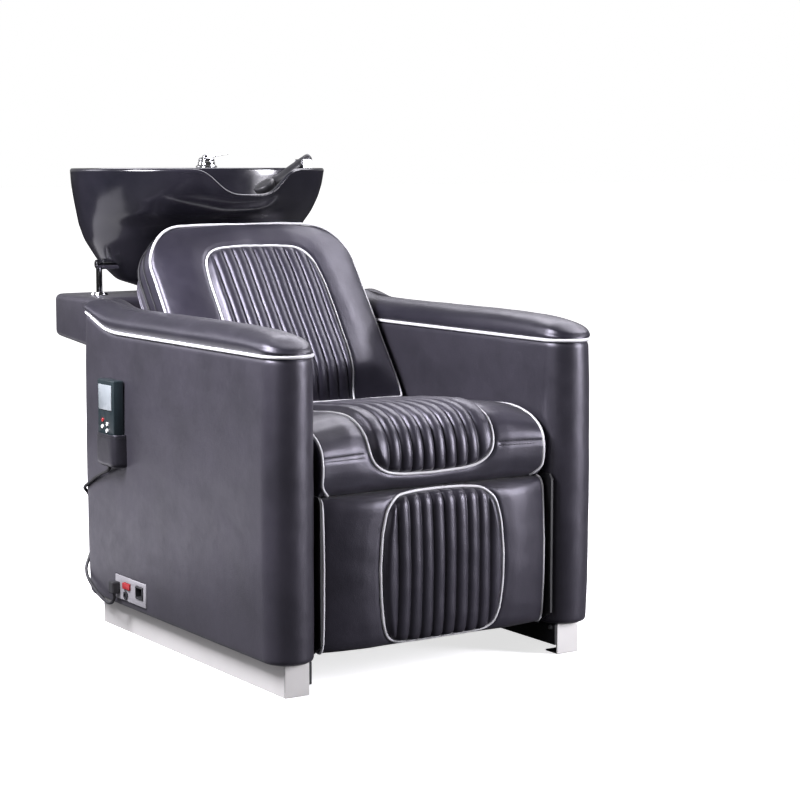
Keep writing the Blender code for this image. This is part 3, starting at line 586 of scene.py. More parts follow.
def piping(name, line, share, body, closed=False):
    """White piping along a line, its thickness a share of the usual one."""
    verts, faces = tube_mesh(line, PIPING * share, closed=closed)
    piece(name, verts, faces, WHITE, body, "white_trim")


# ---------------------------------------------------------------- upholstery

def crumple(x, s, size):
    """A little unevenness in hand-stuffed leather."""
    return size * (np.sin(31 * x + 17 * s + 0.7) * np.sin(23 * s - 11 * x + 2.1)
                   + 0.5 * np.sin(67 * x - 41 * s + 1.3) * np.sin(53 * s + 29 * x + 0.4))


def panel_push(pad_x, pad_s, outline, seams, puff, valley, rest):
    """Surface height of a channelled panel inside an outline, and of the plain leather round it."""
    edge = distance_to(outline, pad_x, pad_s)
    inner = inside_of(outline, pad_x, pad_s)
    rolls = channels(pad_x, seams, puff) * step_up(edge, 0.0, 0.016)
    raised = np.where(inner, rolls, rest * step_up(edge, 0.0, 0.040))
    return raised - valley * np.exp(-(edge / 0.0055) ** 2)


def mirrored(side, start=0, end=None):
    """A right-hand path, then the mirror image of its points from start to end, going back."""
    side = list(side)
    return side + [(-x, s) for x, s in reversed(side[start:end])]


SEAT_PROFILE = ((0.528, 0.464), (0.450, 0.476), (0.350, 0.488), (0.250, 0.4985), (0.180, 0.5045),
                (0.135, 0.5060), (0.100, 0.5020), (0.072, 0.4915), (0.052, 0.4745), (0.041, 0.4535),
                (0.0365, 0.430), (0.0370, 0.406), (0.042, 0.387), (0.0480, 0.3752), (0.0560, 0.3664),
                (0.068, 0.3656), (0.082, 0.3662), (0.104, 0.3670), (0.300, 0.3670), (0.436, 0.3670),
                (0.470, 0.4100), (0.5028, 0.4500), (0.520, 0.4600))
SEAT_SEAMS = [-0.146, *(-0.1028 + 0.0257 * k for k in range(9)), 0.146]


def seat():
    """The seat cushion: channelled panel, piping round it, plain sides with a stitched seam."""
    columns = fine_columns(0.2595, 0.150, 0.0020, 0.0050, 0.010)
    pad = Pad(0.2595, SEAT_PROFILE, columns, 0.010)
    rear, crest = pad.s_of(0.500, 0.469), pad.s_of(0.150, 0.506)
    nose, low = pad.s_of(0.037, 0.445), pad.s_of(0.037, 0.398)
    half = [(0.148, rear - 0.20), (0.150, rear + 0.02), (0.152, crest - 0.08), (0.151, crest),
            (0.148, (crest + nose) / 2), (0.144, nose), (0.139, nose + 0.020), (0.124, low - 0.012),
            (0.098, low), (0.060, low + 0.004), (0.0, low + 0.006)]
    half = smoothed(resample(half, 0.004), 14)
    outline = mirrored(half[:-1])
    seam = pad.s_of(0.037, 0.437)

    def displace(x, s):
        push = panel_push(x, s, outline, SEAT_SEAMS, 0.0105, 0.0045, 0.0045)
        front = step_up(s, rear - 0.02, rear + 0.10) * (1 - step_up(s, low + 0.03, low + 0.06))
        beside = np.abs(x) > 0.152
        sewn = 0.0026 * np.exp(-((s - seam) / 0.0040) ** 2) * beside
        return (push - sewn + crumple(x, s, 0.0009)) * front

    pad.build(displace)
    x, y, z = (pad.grid[..., axis] for axis in range(3))
    out = np.clip((np.abs(x) - 0.130) / 0.125, 0, 1)
    high = np.clip((z - 0.430) / 0.070, 0, 1)
    pad.grid[..., 2] = z + high * (0.0030 * (1 - out) - 0.0125 * out ** 1.6)
    pad.grid[..., 1] = y - 0.0085 * out ** 1.5 * np.clip((0.090 - y) / 0.050, 0, 1)
    verts, faces = pad.mesh()
    cushion = piece("seat_cushion_soft", verts, faces, LEATHER_TOP, "seat", "black_leather")
    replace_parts(cushion, "seat_cushion")
    shown = [(x, s) for x, s in half if s > rear + 0.005]
    loop = mirrored(shown, end=-1)
    piping("seat_panel_piping", pad.line(loop, 0.0022), 0.92, "seat")
    for side, tag in ((-1, "left"), (1, "right")):
        path = [(side * 0.2550, s) for s in np.arange(rear, low + 0.012, 0.005)]
        path += [(side * (0.2550 - inward), low + 0.012 + inward * 0.9)
                 for inward in (0.004, 0.011, 0.020)]
        piping("seat_%s_piping" % tag, pad.line(path, 0.0012), 0.92, "seat")
        for row in (-0.0042, 0.0042):
            run = [(side * x, seam + row) for x in np.arange(0.156, 0.238, 0.004)]
            stitch_row("seat_%s_stitches_%d" % (tag, row > 0), pad, run, "seat")


LEG_PROFILE = ((0.0660, 0.3638), (0.040, 0.3638), (0.022, 0.3624), (0.0115, 0.3560), (0.0060, 0.342),
               (0.0040, 0.300), (0.0030, 0.240), (0.0030, 0.180), (0.0040, 0.120), (0.0070, 0.092),
               (0.014, 0.077), (0.027, 0.0705), (0.045, 0.0705), (0.0660, 0.0735))
LEG_PANEL = ((0.004, 0.0735), (0.060, 0.0740), (0.103, 0.0765), (0.124, 0.090), (0.135, 0.120),
             (0.1415, 0.175), (0.1425, 0.230), (0.137, 0.292), (0.126, 0.335), (0.098, 0.361),
             (0.045, 0.369), (0.0, 0.370))
LEG_SEAMS = [-0.143, *(-0.1056 + 0.0264 * k for k in range(9)), 0.143]


def legrest():
    """The legrest cushion, with its own channelled panel and piping."""
    columns = fine_columns(0.2585, 0.146, 0.0020, 0.0050, 0.008)
    pad = Pad(0.2585, LEG_PROFILE, columns, 0.008, relax=2)
    top, foot = pad.s_of(0.0060, 0.340), pad.s_of(0.0070, 0.092)
    high, low = 0.340, 0.092

    def fall(z):
        """Distance along the profile for a height on the front face."""
        return top + (high - z) * (foot - top) / (high - low)

    half = smoothed(resample([(x, fall(z)) for x, z in LEG_PANEL], 0.004), 10)
    outline = mirrored(half)

    def displace(x, s):
        push = panel_push(x, s, outline, LEG_SEAMS, 0.0090, 0.0040, 0.0035)
        middle = (top + foot) / 2
        barrel = 0.0035 * np.clip(1 - ((s - middle) / (0.56 * (foot - top))) ** 2, 0, 1)
        front = step_up(s, top - 0.036, top - 0.004) * (1 - step_up(s, foot + 0.010, foot + 0.040))
        return (push + barrel + crumple(x, s, 0.0007)) * front

    pad.build(displace)
    x, y = pad.grid[..., 0], pad.grid[..., 1]
    pad.grid[..., 1] = y + 0.026 * (np.abs(x) / 0.256) ** 4 * np.clip((0.0660 - y) / 0.0640, 0, 1)
    verts, faces = pad.mesh()
    cushion = piece("legrest_cushion_soft", verts, faces, LEGREST_LEATHER_PAINTED_SHADE, "legrest", "black_leather")
    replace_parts(cushion, "legrest_cushion")
    loop = mirrored(half, 1, -1)
    piping("legrest_panel_piping", pad.line(loop, 0.0020, closed=True), 0.9, "legrest", closed=True)
    for side, tag in ((-1, "left"), (1, "right")):
        path = [(side * (0.2555 - 0.003 * abs(edge) ** 6),
                 (top + foot) / 2 + edge * (foot - top + 0.090) / 2) for edge in np.linspace(-1, 1, 72)]
        piping("legrest_%s_piping" % tag, pad.line(path, 0.0010), 0.92, "legrest")


BACK_FOOT = np.array((0.528, 0.4785))
BACK_UP = np.array((0.588, 0.809))        # up the back, as (y, z)
BACK_IN = np.array((0.809, -0.588))       # into the back
BACK_SEAMS = [-0.141, *(-0.1148 + 0.0255 * k for k in range(10)), 0.141]


def on_back(x, up, depth):
    side = BACK_FOOT + BACK_UP * up + BACK_IN * depth
    return np.array((x, side[0], side[1]))


class BackPad:
    """A pad on the back: x across, u up, d into the back; round top corners, gusset all round."""

    flat = 0.150        # half the width over which the columns run straight up

    def __init__(self, half, bottom, top, corner, depth, roll, columns):
        self.half, self.top, self.corner, self.depth = half, top, corner, depth
        self.x = np.array(columns, float)
        front, rear = depth
        rise = [bottom + roll * (1 - math.cos(a)) for a in np.linspace(0, math.pi / 2, 6)]
        straight = list(np.arange(bottom + roll + 0.004, top - corner, 0.004))
        bend = [top - corner + (corner - roll) * math.sin(a) for a in np.linspace(0, math.pi / 2, 30)]
        crest = [top - roll * (1 - math.sin(a)) for a in np.linspace(0, math.pi / 2, 6)]
        lift = [front + roll * (1 - math.sin(a)) for a in np.linspace(0, math.pi / 2, 6)]
        fall = [front + roll * (1 - math.cos(a)) for a in np.linspace(0, math.pi / 2, 6)]
        up = rise + straight + bend[:-1] + crest
        deep = lift + [front] * (len(straight) + len(bend) - 1) + fall
        gusset = list(np.linspace(front + roll, rear - roll, 8)[1:-1])
        mirror = [(u, front + rear - d) for u, d in zip(reversed(up), reversed(deep))]
        loop = list(zip(up, deep)) + [(top, d) for d in gusset] + mirror
        loop += [(bottom, d) for d in reversed(gusset)]
        self.up = np.array([u for u, d in loop])
        self.deep = np.array([d for u, d in loop])
        self.front_rows = len(up)

    def width(self, u):
        """Half the pad's width at a height, narrowing round the top corners."""
        centre = self.top - self.corner
        over = np.clip((u - centre) / self.corner, 0, 1)
        return self.half - self.corner * (1 - np.sqrt(np.clip(1 - over ** 2, 0, 1)))

    def build(self, displace, roll, puff):
        """Verts and faces, with the front pushed out by displace(x, u) and the gusset puffed."""
        rows = []
        wide = np.maximum(self.width(self.up), self.flat + 0.004)
        for x in self.x:
            outer = max(abs(x) - self.flat, 0.0) / (self.half - self.flat)
            spaced = np.sign(x) * (self.flat + outer * (wide - self.flat))
            rows.append(np.where(abs(x) <= self.flat, x, spaced))
        across = np.array(rows)
        up = np.repeat(self.up[None], len(self.x), 0)
        deep = np.repeat(self.deep[None], len(self.x), 0)
        near = np.clip((np.abs(across) - (wide - roll)) / roll, 0, 1)
        middle = sum(self.depth) / 2
        inset = roll * (1 - np.sqrt(np.clip(1 - near ** 2, 0, 1)))
        facing = np.clip((middle - deep) / (middle - self.depth[0]), -1, 1)
        shaped = deep + facing * inset - displace(across, up) * np.clip(facing, 0, 1) * (1 - near ** 4)
        tip = step_up(up, self.top - 0.10, self.top)
        raised = up + BACK_CROWN * (1 - (across / self.half) ** 2) * tip
        self.across, self.raised, self.shaped = across, raised, shaped
        rings = [np.stack([across[k], raised[k], shaped[k]], 1) for k in range(len(self.x))]
        lead, tail = [], []
        for end, ring in ((lead, rings[0]), (tail, rings[-1])):
            side = np.sign(ring[0, 0])
            for step in range(1, CAP_RINGS + 1):
                t = step / CAP_RINGS
                ring_in = ring.copy()
                ring_in[:, 2] = middle + (ring[:, 2] - middle) * (1 - t)
                ring_in[:, 0] += side * puff * (1 - (1 - t) ** 2)
                end.append(ring_in)
        rings = lead[::-1] + rings + tail
        flat = np.concatenate(rings)
        verts = [on_back(x, u, d) for x, u, d in flat]
        return verts, grid_faces(len(rings), len(self.up), wrap_columns=True)

    def on(self, x, u, lift=0.0):
        """A point on the front face at (x, u)."""
        rows = self.front_rows
        heights = self.raised[len(self.x) // 2, :rows]
        k = int(np.clip(np.searchsorted(heights, u) - 1, 0, rows - 2))
        t = np.clip((u - heights[k]) / max(heights[k + 1] - heights[k], 1e-9), 0, 1)
        found = []
        for row in (k, k + 1):
            line = self.across[:, row]
            found.append(np.interp(x, line, self.shaped[:, row]))
        return on_back(x, u, (1 - t) * found[0] + t * found[1] - lift)


def back():
    """The back cushion with its panel, piping and gusset seams, and the shell behind it."""
    half, bottom, top, corner = BACK_HALF, -0.026, 0.4395, 0.098
    columns = fine_columns(half, 0.150, 0.0021, 0.006, 0.010)
    pad = BackPad(half, bottom, top, corner, (0.0, 0.0697), 0.010, columns)
    right = [(0.118, -0.12), (0.126, 0.0), (0.137, 0.10), (0.140, 0.20), (0.139, 0.29), (0.132, 0.345),
             (0.116, 0.368), (0.090, 0.376), (0.045, 0.379), (0.0, 0.380)]
    right = smoothed(resample(right, 0.004), 12)
    outline = mirrored(right)

    def displace(x, u):
        push = panel_push(x, u, outline, BACK_SEAMS, 0.0095, 0.0042, 0.0035)
        bulge = 0.036 * np.clip(1 - (np.abs(x) / 0.256) ** 3, 0, 1) ** 0.8
        bulge *= np.clip(1 - (np.abs(u - 0.19) / 0.262) ** 4, 0, 1) ** 0.8 * step_up(u, -0.015, 0.075)
        return push * step_up(u, -0.02, 0.03) + bulge + crumple(x, u, 0.0010)

    verts, faces = pad.build(displace, 0.010, 0.003)
    cushion = piece("back_cushion_soft", verts, faces, BACK_LEATHER_PAINTED_SHADE, "back", "black_leather")
    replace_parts(cushion, "back_cushion")
    shown = [(x, u) for x, u in right if u > -0.012]
    loop = [pad.on(x, u, 0.0022) for x, u in mirrored(shown, end=-1)]
    piping("back_panel_piping", smoothed(loop, 3), 0.8, "back")
    edge = 0.0025
    rim = [(half - edge, u) for u in np.arange(-0.004, top - corner, 0.006)]
    bend = corner - edge
    rim += [(half - corner + bend * math.cos(a), top - corner + bend * math.sin(a))
            for a in np.linspace(0, math.pi / 2, 26)]
    rim += [(x, top - edge) for x in np.linspace(half - corner - 0.006, 0.0, 24)]
    rim = [(x, u + BACK_CROWN * (1 - (x / half) ** 2) * float(step_up(u, top - 0.10, top)))
           for x, u in rim]
    rim = mirrored(rim, end=-1)
    foot = [(x, -0.004) for x in np.linspace(-half + edge + 0.006, half - edge - 0.006, 60)]
    ring = smoothed([pad.on(x, u, 0.0008) for x, u in rim + foot], 3, closed=True)
    piping("back_front_piping", ring, 0.92, "back", closed=True)
    rows = []
    wider = 1.0 + 0.0075 / half
    for depth, width in ((0.020, 0.0011), (0.046, 0.0015), (0.0505, 0.0011)):
        line = [on_back(x * wider, u + 0.004 * float(step_up(u, top - 0.06, top)), depth)
                for x, u in rim]
        rows.append(tube_mesh(smoothed(line, 2), width, 6))
    gathered("back_gusset_seams", rows, THREAD, "back", "black_leather")

    shell = BackPad(0.2455, -0.020, 0.4180, 0.090, (0.0753, 0.1085), 0.014,
                    fine_columns(0.2455, 0.150, 0.012, 0.008, 0.014))
    verts, faces = shell.build(lambda x, u: crumple(x, u, 0.0008), 0.014, 0.004)
    cover = piece("back_shell_soft", verts, faces, LEATHER_SIDE, "back", "black_leather")
    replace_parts(cover, "back_shell")


SEAM_LINE = ((-0.010, 0.634), (0.660, 0.634), (0.700, 0.637), (0.735, 0.6465), (0.765, 0.658),
             (0.790, 0.667), (0.820, 0.672))
PAD_CREST = ((-0.010, 0.652), (0.010, 0.661), (0.050, 0.6725), (0.120, 0.679), (0.200, 0.681),
             (0.700, 0.681), (0.740, 0.685), (0.780, 0.694), (0.820, 0.700))


# where the leather steps in and out again round the power panel's opening
RECESS_Y = (0.5318, 0.5342, 0.6658, 0.6682)
RECESS_Z = (0.0828, 0.0850, 0.1250, 0.1272)


def height_along(table, y, passes):
    """A height for every y, from a table of (y, z) with its corners relaxed."""
    spots, heights = np.array(table).T
    fine = np.linspace(-0.010, 0.820, 84)
    return np.interp(y, fine, smoothed(np.interp(fine, spots, heights)[:, None], passes)[:, 0])


def arm_plan():
    """The arm's outline from above, as (x, y) about the arm's own middle line, with its normals."""
    radius, corner = ARM_HALF, 0.014
    plan = [(-radius * math.cos(a), radius - radius * math.sin(a)) for a in np.linspace(0, math.pi, 48)]
    plan += [(radius, y) for y in np.arange(radius + 0.008, ARM_REAR - corner, 0.008)]
    plan += [(radius - corner + corner * math.cos(a), ARM_REAR - corner + corner * math.sin(a))
             for a in np.linspace(0, math.pi / 2, 8)]
    plan += [(x, ARM_REAR) for x in np.linspace(radius - corner, -radius + corner, 12)[1:-1]]
    plan += [(-radius + corner - corner * math.sin(a), ARM_REAR - corner + corner * math.cos(a))
             for a in np.linspace(0, math.pi / 2, 8)]
    down = np.arange(ARM_REAR - corner - 0.008, radius + 0.004, -0.008)
    down = [y for y in down if abs(y - 0.5330) > 0.004 and abs(y - 0.6670) > 0.004]
    plan += [(-radius, y) for y in sorted([*down, *RECESS_Y], reverse=True)]
    plan = np.array(plan)
    run = np.roll(plan, -1, 0) - np.roll(plan, 1, 0)
    run /= np.linalg.norm(run, axis=1)[:, None] + 1e-12
    return plan, np.stack([run[:, 1], -run[:, 0]], 1)


def arm(side, tag):
    """One arm: the upright leather block, its stuffed top pad and the piping between."""
    plan, normal = arm_plan()
    middle = side * (ARM_OUT + ARM_IN) / 2
    x, y = plan[:, 0], plan[:, 1]
    outer = step_up(x * side, -0.01, 0.045)
    seam = height_along(SEAM_LINE, y, 6)
    heel = 0.028        # radius of the rear lower corner
    past = np.clip((y - ARM_REAR + heel) / heel, 0, 1)
    lower = ARM_FOOT + heel * np.clip(1 - np.sqrt(np.clip(1 - past ** 2, 0, 1)), 0, 1)
    rows = np.concatenate([np.linspace(0, 0.03, 7)[:-1], np.linspace(0.03, 0.955, 60)[:-1],
                           np.linspace(0.955, 1.0, 9)])
    opening = (np.array(RECESS_Z) - ARM_FOOT) / (SEAM_LINE[0][1] - ARM_FOOT)
    rows = np.sort(np.concatenate([[t for t in rows if np.abs(opening - t).min() > 0.004], opening]))
    rings = []
    for t in rows:
        z = lower + t * (seam - 0.0010 - lower)
        bottom_roll = 0.008 * (1 - math.sqrt(max(0.0, 1 - max(0.0, 1 - (t * ARM_RISE) / 0.010) ** 2)))
        top_roll = 0.0040 * math.exp(-((1 - t) * ARM_RISE / 0.006) ** 2)
        fill = math.sin(math.pi * min(1.0, max(0.0, t))) ** 0.6
        puff = (0.0012 + 0.0042 * outer) * fill * (1 - 0.5 * step_up(y, ARM_REAR - 0.02, ARM_REAR))
        puff = puff + crumple(y * 0.6, z * 0.8 + x, 0.0005) * fill
        push = puff - bottom_roll - top_roll
        if side < 0 and RECESS_Z[1] - 1e-6 <= z[0] <= RECESS_Z[2] + 1e-6:
            push = np.where((y > 0.534) & (y < 0.666) & (x < -0.04), -0.016, push)
        rings.append(np.stack([middle + (x + normal[:, 0] * push), y + normal[:, 1] * push, z], 1))
    block = piece("%s_arm_leather" % tag, *capped(rings), LEATHER_SIDE, "root", "black_leather")
    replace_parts(block, "%s_arm_panel" % tag)

    rings = []
    power = 2.5
    angles = np.concatenate([np.linspace(0, 0.30, 9)[:-1], np.linspace(0.30, math.pi / 2, 24)])
    for angle in angles:
        sink = 1 - math.cos(angle) ** (2 / power) if angle < math.pi / 2 else 1.0
        rise = math.sin(angle) ** (2 / power)
        inset = ARM_HALF * min(sink, 0.985)
        bulge = 0.0050 * math.sin(math.pi * min(rise * 1.15, 1.0)) * outer
        bulge = bulge + 0.0022 * math.sin(math.pi * rise)
        nose = 1 - step_up(y, 0.030, 0.085)
        fold = 0.0022 * nose * math.exp(-((rise - 0.44) / 0.15) ** 2)
        tuck = 0.0030 * math.exp(-(rise / 0.06) ** 2)
        push = bulge - fold - tuck
        narrower = 1 - inset / ARM_HALF
        px = x * narrower + normal[:, 0] * push
        py = np.where(y < ARM_HALF, ARM_HALF + (y - ARM_HALF) * narrower,
                      np.minimum(y, ARM_REAR - inset * 0.55))
        py = py + normal[:, 1] * push
        height = height_along(PAD_CREST, np.clip(y + (py - y) * rise ** 2, 0.0, ARM_REAR), 8)
        z = seam + 0.0008 + rise * (height - seam - 0.0008) + crumple(y * 0.7, x, 0.0006) * rise
        rings.append(np.stack([middle + px, py, z], 1))
    top = piece("%s_arm_pad_soft" % tag, *capped(rings), ARM_PAD_LEATHER_PAINTED_SHADE, "root", "black_leather")
    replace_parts(top, "%s_arm_pad" % tag)
    ring = np.stack([middle + x + normal[:, 0] * 0.0004, y + normal[:, 1] * 0.0004, seam], 1)
    piping("%s_arm_piping" % tag, smoothed(ring, 2, closed=True), 1.1, "root", closed=True)


def softened(name, node, bevel, finish, body, segments=3):
    """A copy of a CAD node with its edges rolled over."""
    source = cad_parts[node].data
    skin = bmesh.new()
    skin.from_mesh(source)
    bmesh.ops.remove_doubles(skin, verts=skin.verts, dist=1e-5)
    bmesh.ops.dissolve_limit(skin, angle_limit=math.radians(2), verts=skin.verts, edges=skin.edges)
    mesh = bpy.data.meshes.new(name)
    for face in skin.faces:
        face.smooth = True
    skin.to_mesh(mesh)
    skin.free()
    obj = new_object(name, mesh)
    mesh.materials.append(finish)
    roll = obj.modifiers.new("roll", "BEVEL")
    roll.width = bevel
    roll.segments = segments
    roll.limit_method = "ANGLE"
    roll.angle_limit = math.radians(28)
    roll.harden_normals = True
    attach(obj, body)
    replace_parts(obj, node)
    return obj


def shelf():
    """The padded block behind the arms that the basin sits in."""
    node = softened("rear_shelf_leather", "rear_shelf", 0.014, LEATHER_SIDE, "root", 5)


# ---------------------------------------------------------------- basin and chrome

# sections of the bowl from the rim down, as (height, half width, front y, rear y)
BOWL_OUTSIDE = (
    (0.966, 0.288, 0.739, 1.242), (0.935, 0.286, 0.748, 1.238), (0.905, 0.281, 0.763, 1.232),
    (0.870, 0.273, 0.795, 1.220), (0.845, 0.266, 0.833, 1.208), (0.810, 0.254, 0.868, 1.185),
    (0.760, 0.222, 0.915, 1.150), (0.720, 0.183, 0.955, 1.108), (0.700, 0.120, 0.985, 1.075))
BOWL_INSIDE = (
    (0.966, 0.273, 0.755, 1.167), (0.930, 0.268, 0.768, 1.163), (0.890, 0.260, 0.793, 1.158),
    (0.850, 0.247, 0.846, 1.148), (0.800, 0.226, 0.898, 1.128), (0.755, 0.186, 0.945, 1.098),
    (0.727, 0.125, 0.985, 1.075))
BOWL_STEPS = 168                  # points round each ring
RIM_HEIGHT = 0.9690
DRAIN = (0.0, 1.030)


def bowl_ring(section):
    """One ring of the bowl: a squarish oval with the neck notch in its front."""
    height, half, front, rear = section
    angle = 2 * math.pi * np.arange(BOWL_STEPS) / BOWL_STEPS
    cosine, sine = np.cos(angle), np.sin(angle)
    power = 2 / 2.2
    x = np.sign(cosine) * np.abs(cosine) ** power * half
    y = (front + rear) / 2 + np.sign(sine) * np.abs(sine) ** power * (rear - front) / 2
    fade = np.clip((height - 0.860) / 0.106, 0, 1.05)
    notch = np.exp(-(x / 0.088) ** 4) * step_up((front + rear) / 2 + 0.02 - y, 0.0, 0.03)
    return np.stack([x, y, height - 0.054 * fade * notch], 1)


def round_ring(height, radius):
    angle = 2 * math.pi * np.arange(BOWL_STEPS) / BOWL_STEPS
    return np.stack([DRAIN[0] + radius * np.cos(angle), DRAIN[1] + radius * np.sin(angle),
                     np.full(BOWL_STEPS, height)], 1)


def basin():
    """The glazed bowl: outside, rolled lip, inside and drain, joined into one closed skin."""
    outside = smoothed(resample(BOWL_OUTSIDE, 0.006), 6)[::-1]
    inside = smoothed(resample(BOWL_INSIDE, 0.006), 6)
    lip = []
    wide, deep = 0.0045, 0.0060
    _, half, front, rear = BOWL_OUTSIDE[0]
    for turn in np.linspace(0, math.pi / 2, 6):
        drop, pull = deep * (1 - math.sin(turn)), wide * (1 - math.cos(turn))
        lip.append((RIM_HEIGHT - drop, half - pull, front + pull, rear - pull))
    _, half, front, rear = BOWL_INSIDE[0]
    for turn in np.linspace(math.pi / 2, 0, 6):
        drop, pull = deep * 1.3 * (1 - math.sin(turn)), wide * 1.4 * (1 - math.cos(turn))
        lip.append((RIM_HEIGHT - drop, half + pull, front - pull, rear + pull))
    outside = [section for section in outside if section[0] < 0.9620]
    inside = [section for section in inside if section[0] < 0.9600]
    rings = [bowl_ring(section) for section in [*outside, *lip, *inside]]
    floor_edge = rings[-1]
    rings += [floor_edge * (1 - t) + round_ring(0.7185, 0.030) * t for t in (0.2, 0.4, 0.6, 0.8, 1.0)]
    rings += [round_ring(0.7165, 0.0255), round_ring(0.7000, 0.0250)]
    verts = np.concatenate(rings)
    faces = grid_faces(len(rings), BOWL_STEPS, wrap_rows=True, wrap_columns=True)
    bowl = piece("wash_basin_glazed", verts, faces, GLAZE, "bowl", "black_ceramic")
    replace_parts(bowl, "wash_basin")


def turned(profile, centre, steps, axis=(0.0, 0.0, 1.0)):
    """Verts and faces of a turned shape; profile is (radius, along), centre its origin."""
    axis = np.array(axis, float)
    axis /= np.linalg.norm(axis)
    side = np.cross(axis, (0.0, 1.0, 0.0) if abs(axis[1]) < 0.9 else (1.0, 0.0, 0.0))
    side /= np.linalg.norm(side)
    other = np.cross(axis, side)
    angles = np.linspace(0, 2 * math.pi, steps, endpoint=False)
    return capped([[np.array(centre) + axis * along
                    + radius * (math.cos(angle) * side + math.sin(angle) * other) for angle in angles]
                   for radius, along in profile])


MIXER = (0.135, 1.204)


def mixer():
    """The tap: a turned body, a domed turret on it and a flat lever with a rounded tip."""
    x, y = MIXER
    body = [(0.0245, 0.9692), (0.0252, 0.9702), (0.0252, 0.9722), (0.0242, 0.9736),
            (0.0216, 0.9746), (0.0206, 0.9780), (0.0200, 0.9826), (0.0190, 0.9839)]
    verts, faces = turned(body, (x, y, 0.0), 56)
    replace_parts(piece("mixer_body_chrome", verts, faces, CHROME, "bowl", "chrome"), "mixer_body")
    turret = [(0.0176, 0.9844), (0.0190, 0.9850), (0.0191, 0.9872), (0.0182, 0.9900), (0.0160, 0.9922),
              (0.0110, 0.9937), (0.0040, 0.9942)]
    verts, faces = turned(turret, (x, y, 0.0), 56)
    cap = piece("mixer_turret_chrome", verts, faces, CHROME, "mixer_turret", "chrome")
    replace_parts(cap, "mixer_turret")
    spine = np.array(((-0.0095, 0.9958), (0.000, 0.9962), (0.012, 0.9968), (0.024, 0.9982),
                      (0.036, 1.0000), (0.048, 1.0014), (0.0595, 1.0022)))
    widths = np.array((0.0048, 0.0062, 0.0060, 0.0056, 0.0055, 0.0058, 0.0050))
    thick = np.array((0.0030, 0.0042, 0.0040, 0.0032, 0.0025, 0.0020, 0.0014))
    order = np.arange(len(spine))
    rings = []
    for t in np.linspace(0, 6, 37):
        cx, cz = np.interp(t, order, spine[:, 0]), np.interp(t, order, spine[:, 1])
        w, h = np.interp(t, order, widths), np.interp(t, order, thick)
        tip = math.sqrt(max(0.02, 1 - max(0.0, (t - 5.4) / 0.62) ** 2))
        tip *= math.sqrt(min(1.0, 0.25 + t / 0.6))
        ring = []
        for a in np.linspace(0, 2 * math.pi, 24, endpoint=False):
            c, q = math.cos(a), math.sin(a)
            ring.append((x + cx, y + math.copysign(abs(c) ** 0.75, c) * w * tip,
                         cz + math.copysign(abs(q) ** 0.75, q) * h * tip))
        rings.append(ring)
    lever = piece("mixer_lever_chrome", *capped(rings), CHROME, "mixer_lever", "chrome")
    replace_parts(lever, "mixer_lever")


SHOWER_TOP = np.array((0.268, 0.975, 0.9835))
SHOWER_LOW = np.array((0.182, 0.975, 0.9325))


def hand_shower():
    """The hand shower, lying from its dock on the rim down into the bowl."""
    run = SHOWER_TOP - SHOWER_LOW
    length = np.linalg.norm(run)
    run /= length
    grip = [(0.0092, -0.002), (0.0108, 0.001), (0.0108, 0.020), (0.0098, 0.024), (0.0104, 0.030),
            (0.0110, 0.060), (0.0112, length), (0.0110, length + 0.014), (0.0098, length + 0.0192),
            (0.0070, length + 0.0200)]
    across = np.cross((0.0, 1.0, 0.0), run)
    across /= np.linalg.norm(across)
    centre = SHOWER_LOW - run * 0.018
    head = [(0.0150, -0.0122), (0.0240, -0.0118), (0.0258, -0.0100), (0.0260, -0.0060),
            (0.0245, 0.0000), (0.0215, 0.0060), (0.0175, 0.0096), (0.0120, 0.0102)]
    neck = [(0.0100, -0.016), (0.0102, -0.006), (0.0104, 0.002)]
    meshes = [turned(grip, SHOWER_LOW, 36, run), turned(neck, SHOWER_LOW, 36, run),
              turned(head, centre, 48, across)]
    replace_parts(gathered("hand_shower_body", meshes, BLACK_PLASTIC, "hand_shower", "black_plastic"),
                "hand_shower")
    holes = []
    side = np.cross(across, run)
    for ring, count in ((0.005, 6), (0.010, 12), (0.0145, 18)):
        for k in range(count):
            a = 2 * math.pi * k / count
            spot = centre + ring * (math.cos(a) * run + math.sin(a) * side)
            holes.append(turned([(0.0007, -0.0128), (0.0007, -0.0119)], spot, 8, across))
    gathered("hand_shower_nozzles", holes, RUBBER, "hand_shower", "black_plastic")


# ---------------------------------------------------------------- lead and controls

CORD_ROUTE = ((-0.3880, 0.655, 0.3847), (-0.3880, 0.656, 0.3596), (-0.3872, 0.665, 0.3500),
              (-0.3855, 0.682, 0.3440), (-0.3830, 0.708, 0.3365), (-0.3805, 0.740, 0.3250),
              (-0.3790, 0.772, 0.3110), (-0.3782, 0.799, 0.2980), (-0.3738, 0.8132, 0.2910),
              (-0.3650, 0.8200, 0.2820), (-0.3560, 0.8240, 0.2670), (-0.3500, 0.8260, 0.2420),
              (-0.3490, 0.8260, 0.2000), (-0.3540, 0.8245, 0.1600), (-0.3645, 0.8195, 0.1370),
              (-0.3730, 0.8137, 0.1210), (-0.3772, 0.8035, 0.1080), (-0.3795, 0.788, 0.0975),
              (-0.3815, 0.764, 0.0865), (-0.3835, 0.735, 0.0770), (-0.3840, 0.704, 0.0690),
              (-0.3840, 0.680, 0.0665), (-0.3838, 0.664, 0.0715), (-0.3838, 0.6556, 0.0815),
              (-0.3838, 0.6550, 0.0902))


def through(route, steps):
    """A smooth run through the route's own points."""
    route = np.array(route, float)
    points = []
    for k in range(len(route) - 1):
        before, start, end = route[max(k - 1, 0)], route[k], route[k + 1]
        after = route[min(k + 2, len(route) - 1)]
        for step in range(steps):
            t = step / steps
            points.append(0.5 * (2 * start + (end - before) * t
                                 + (2 * before - 5 * start + 4 * end - after) * t * t
                                 + (3 * start - before - 3 * end + after) * t ** 3))
    points.append(route[-1])
    return np.array(points)


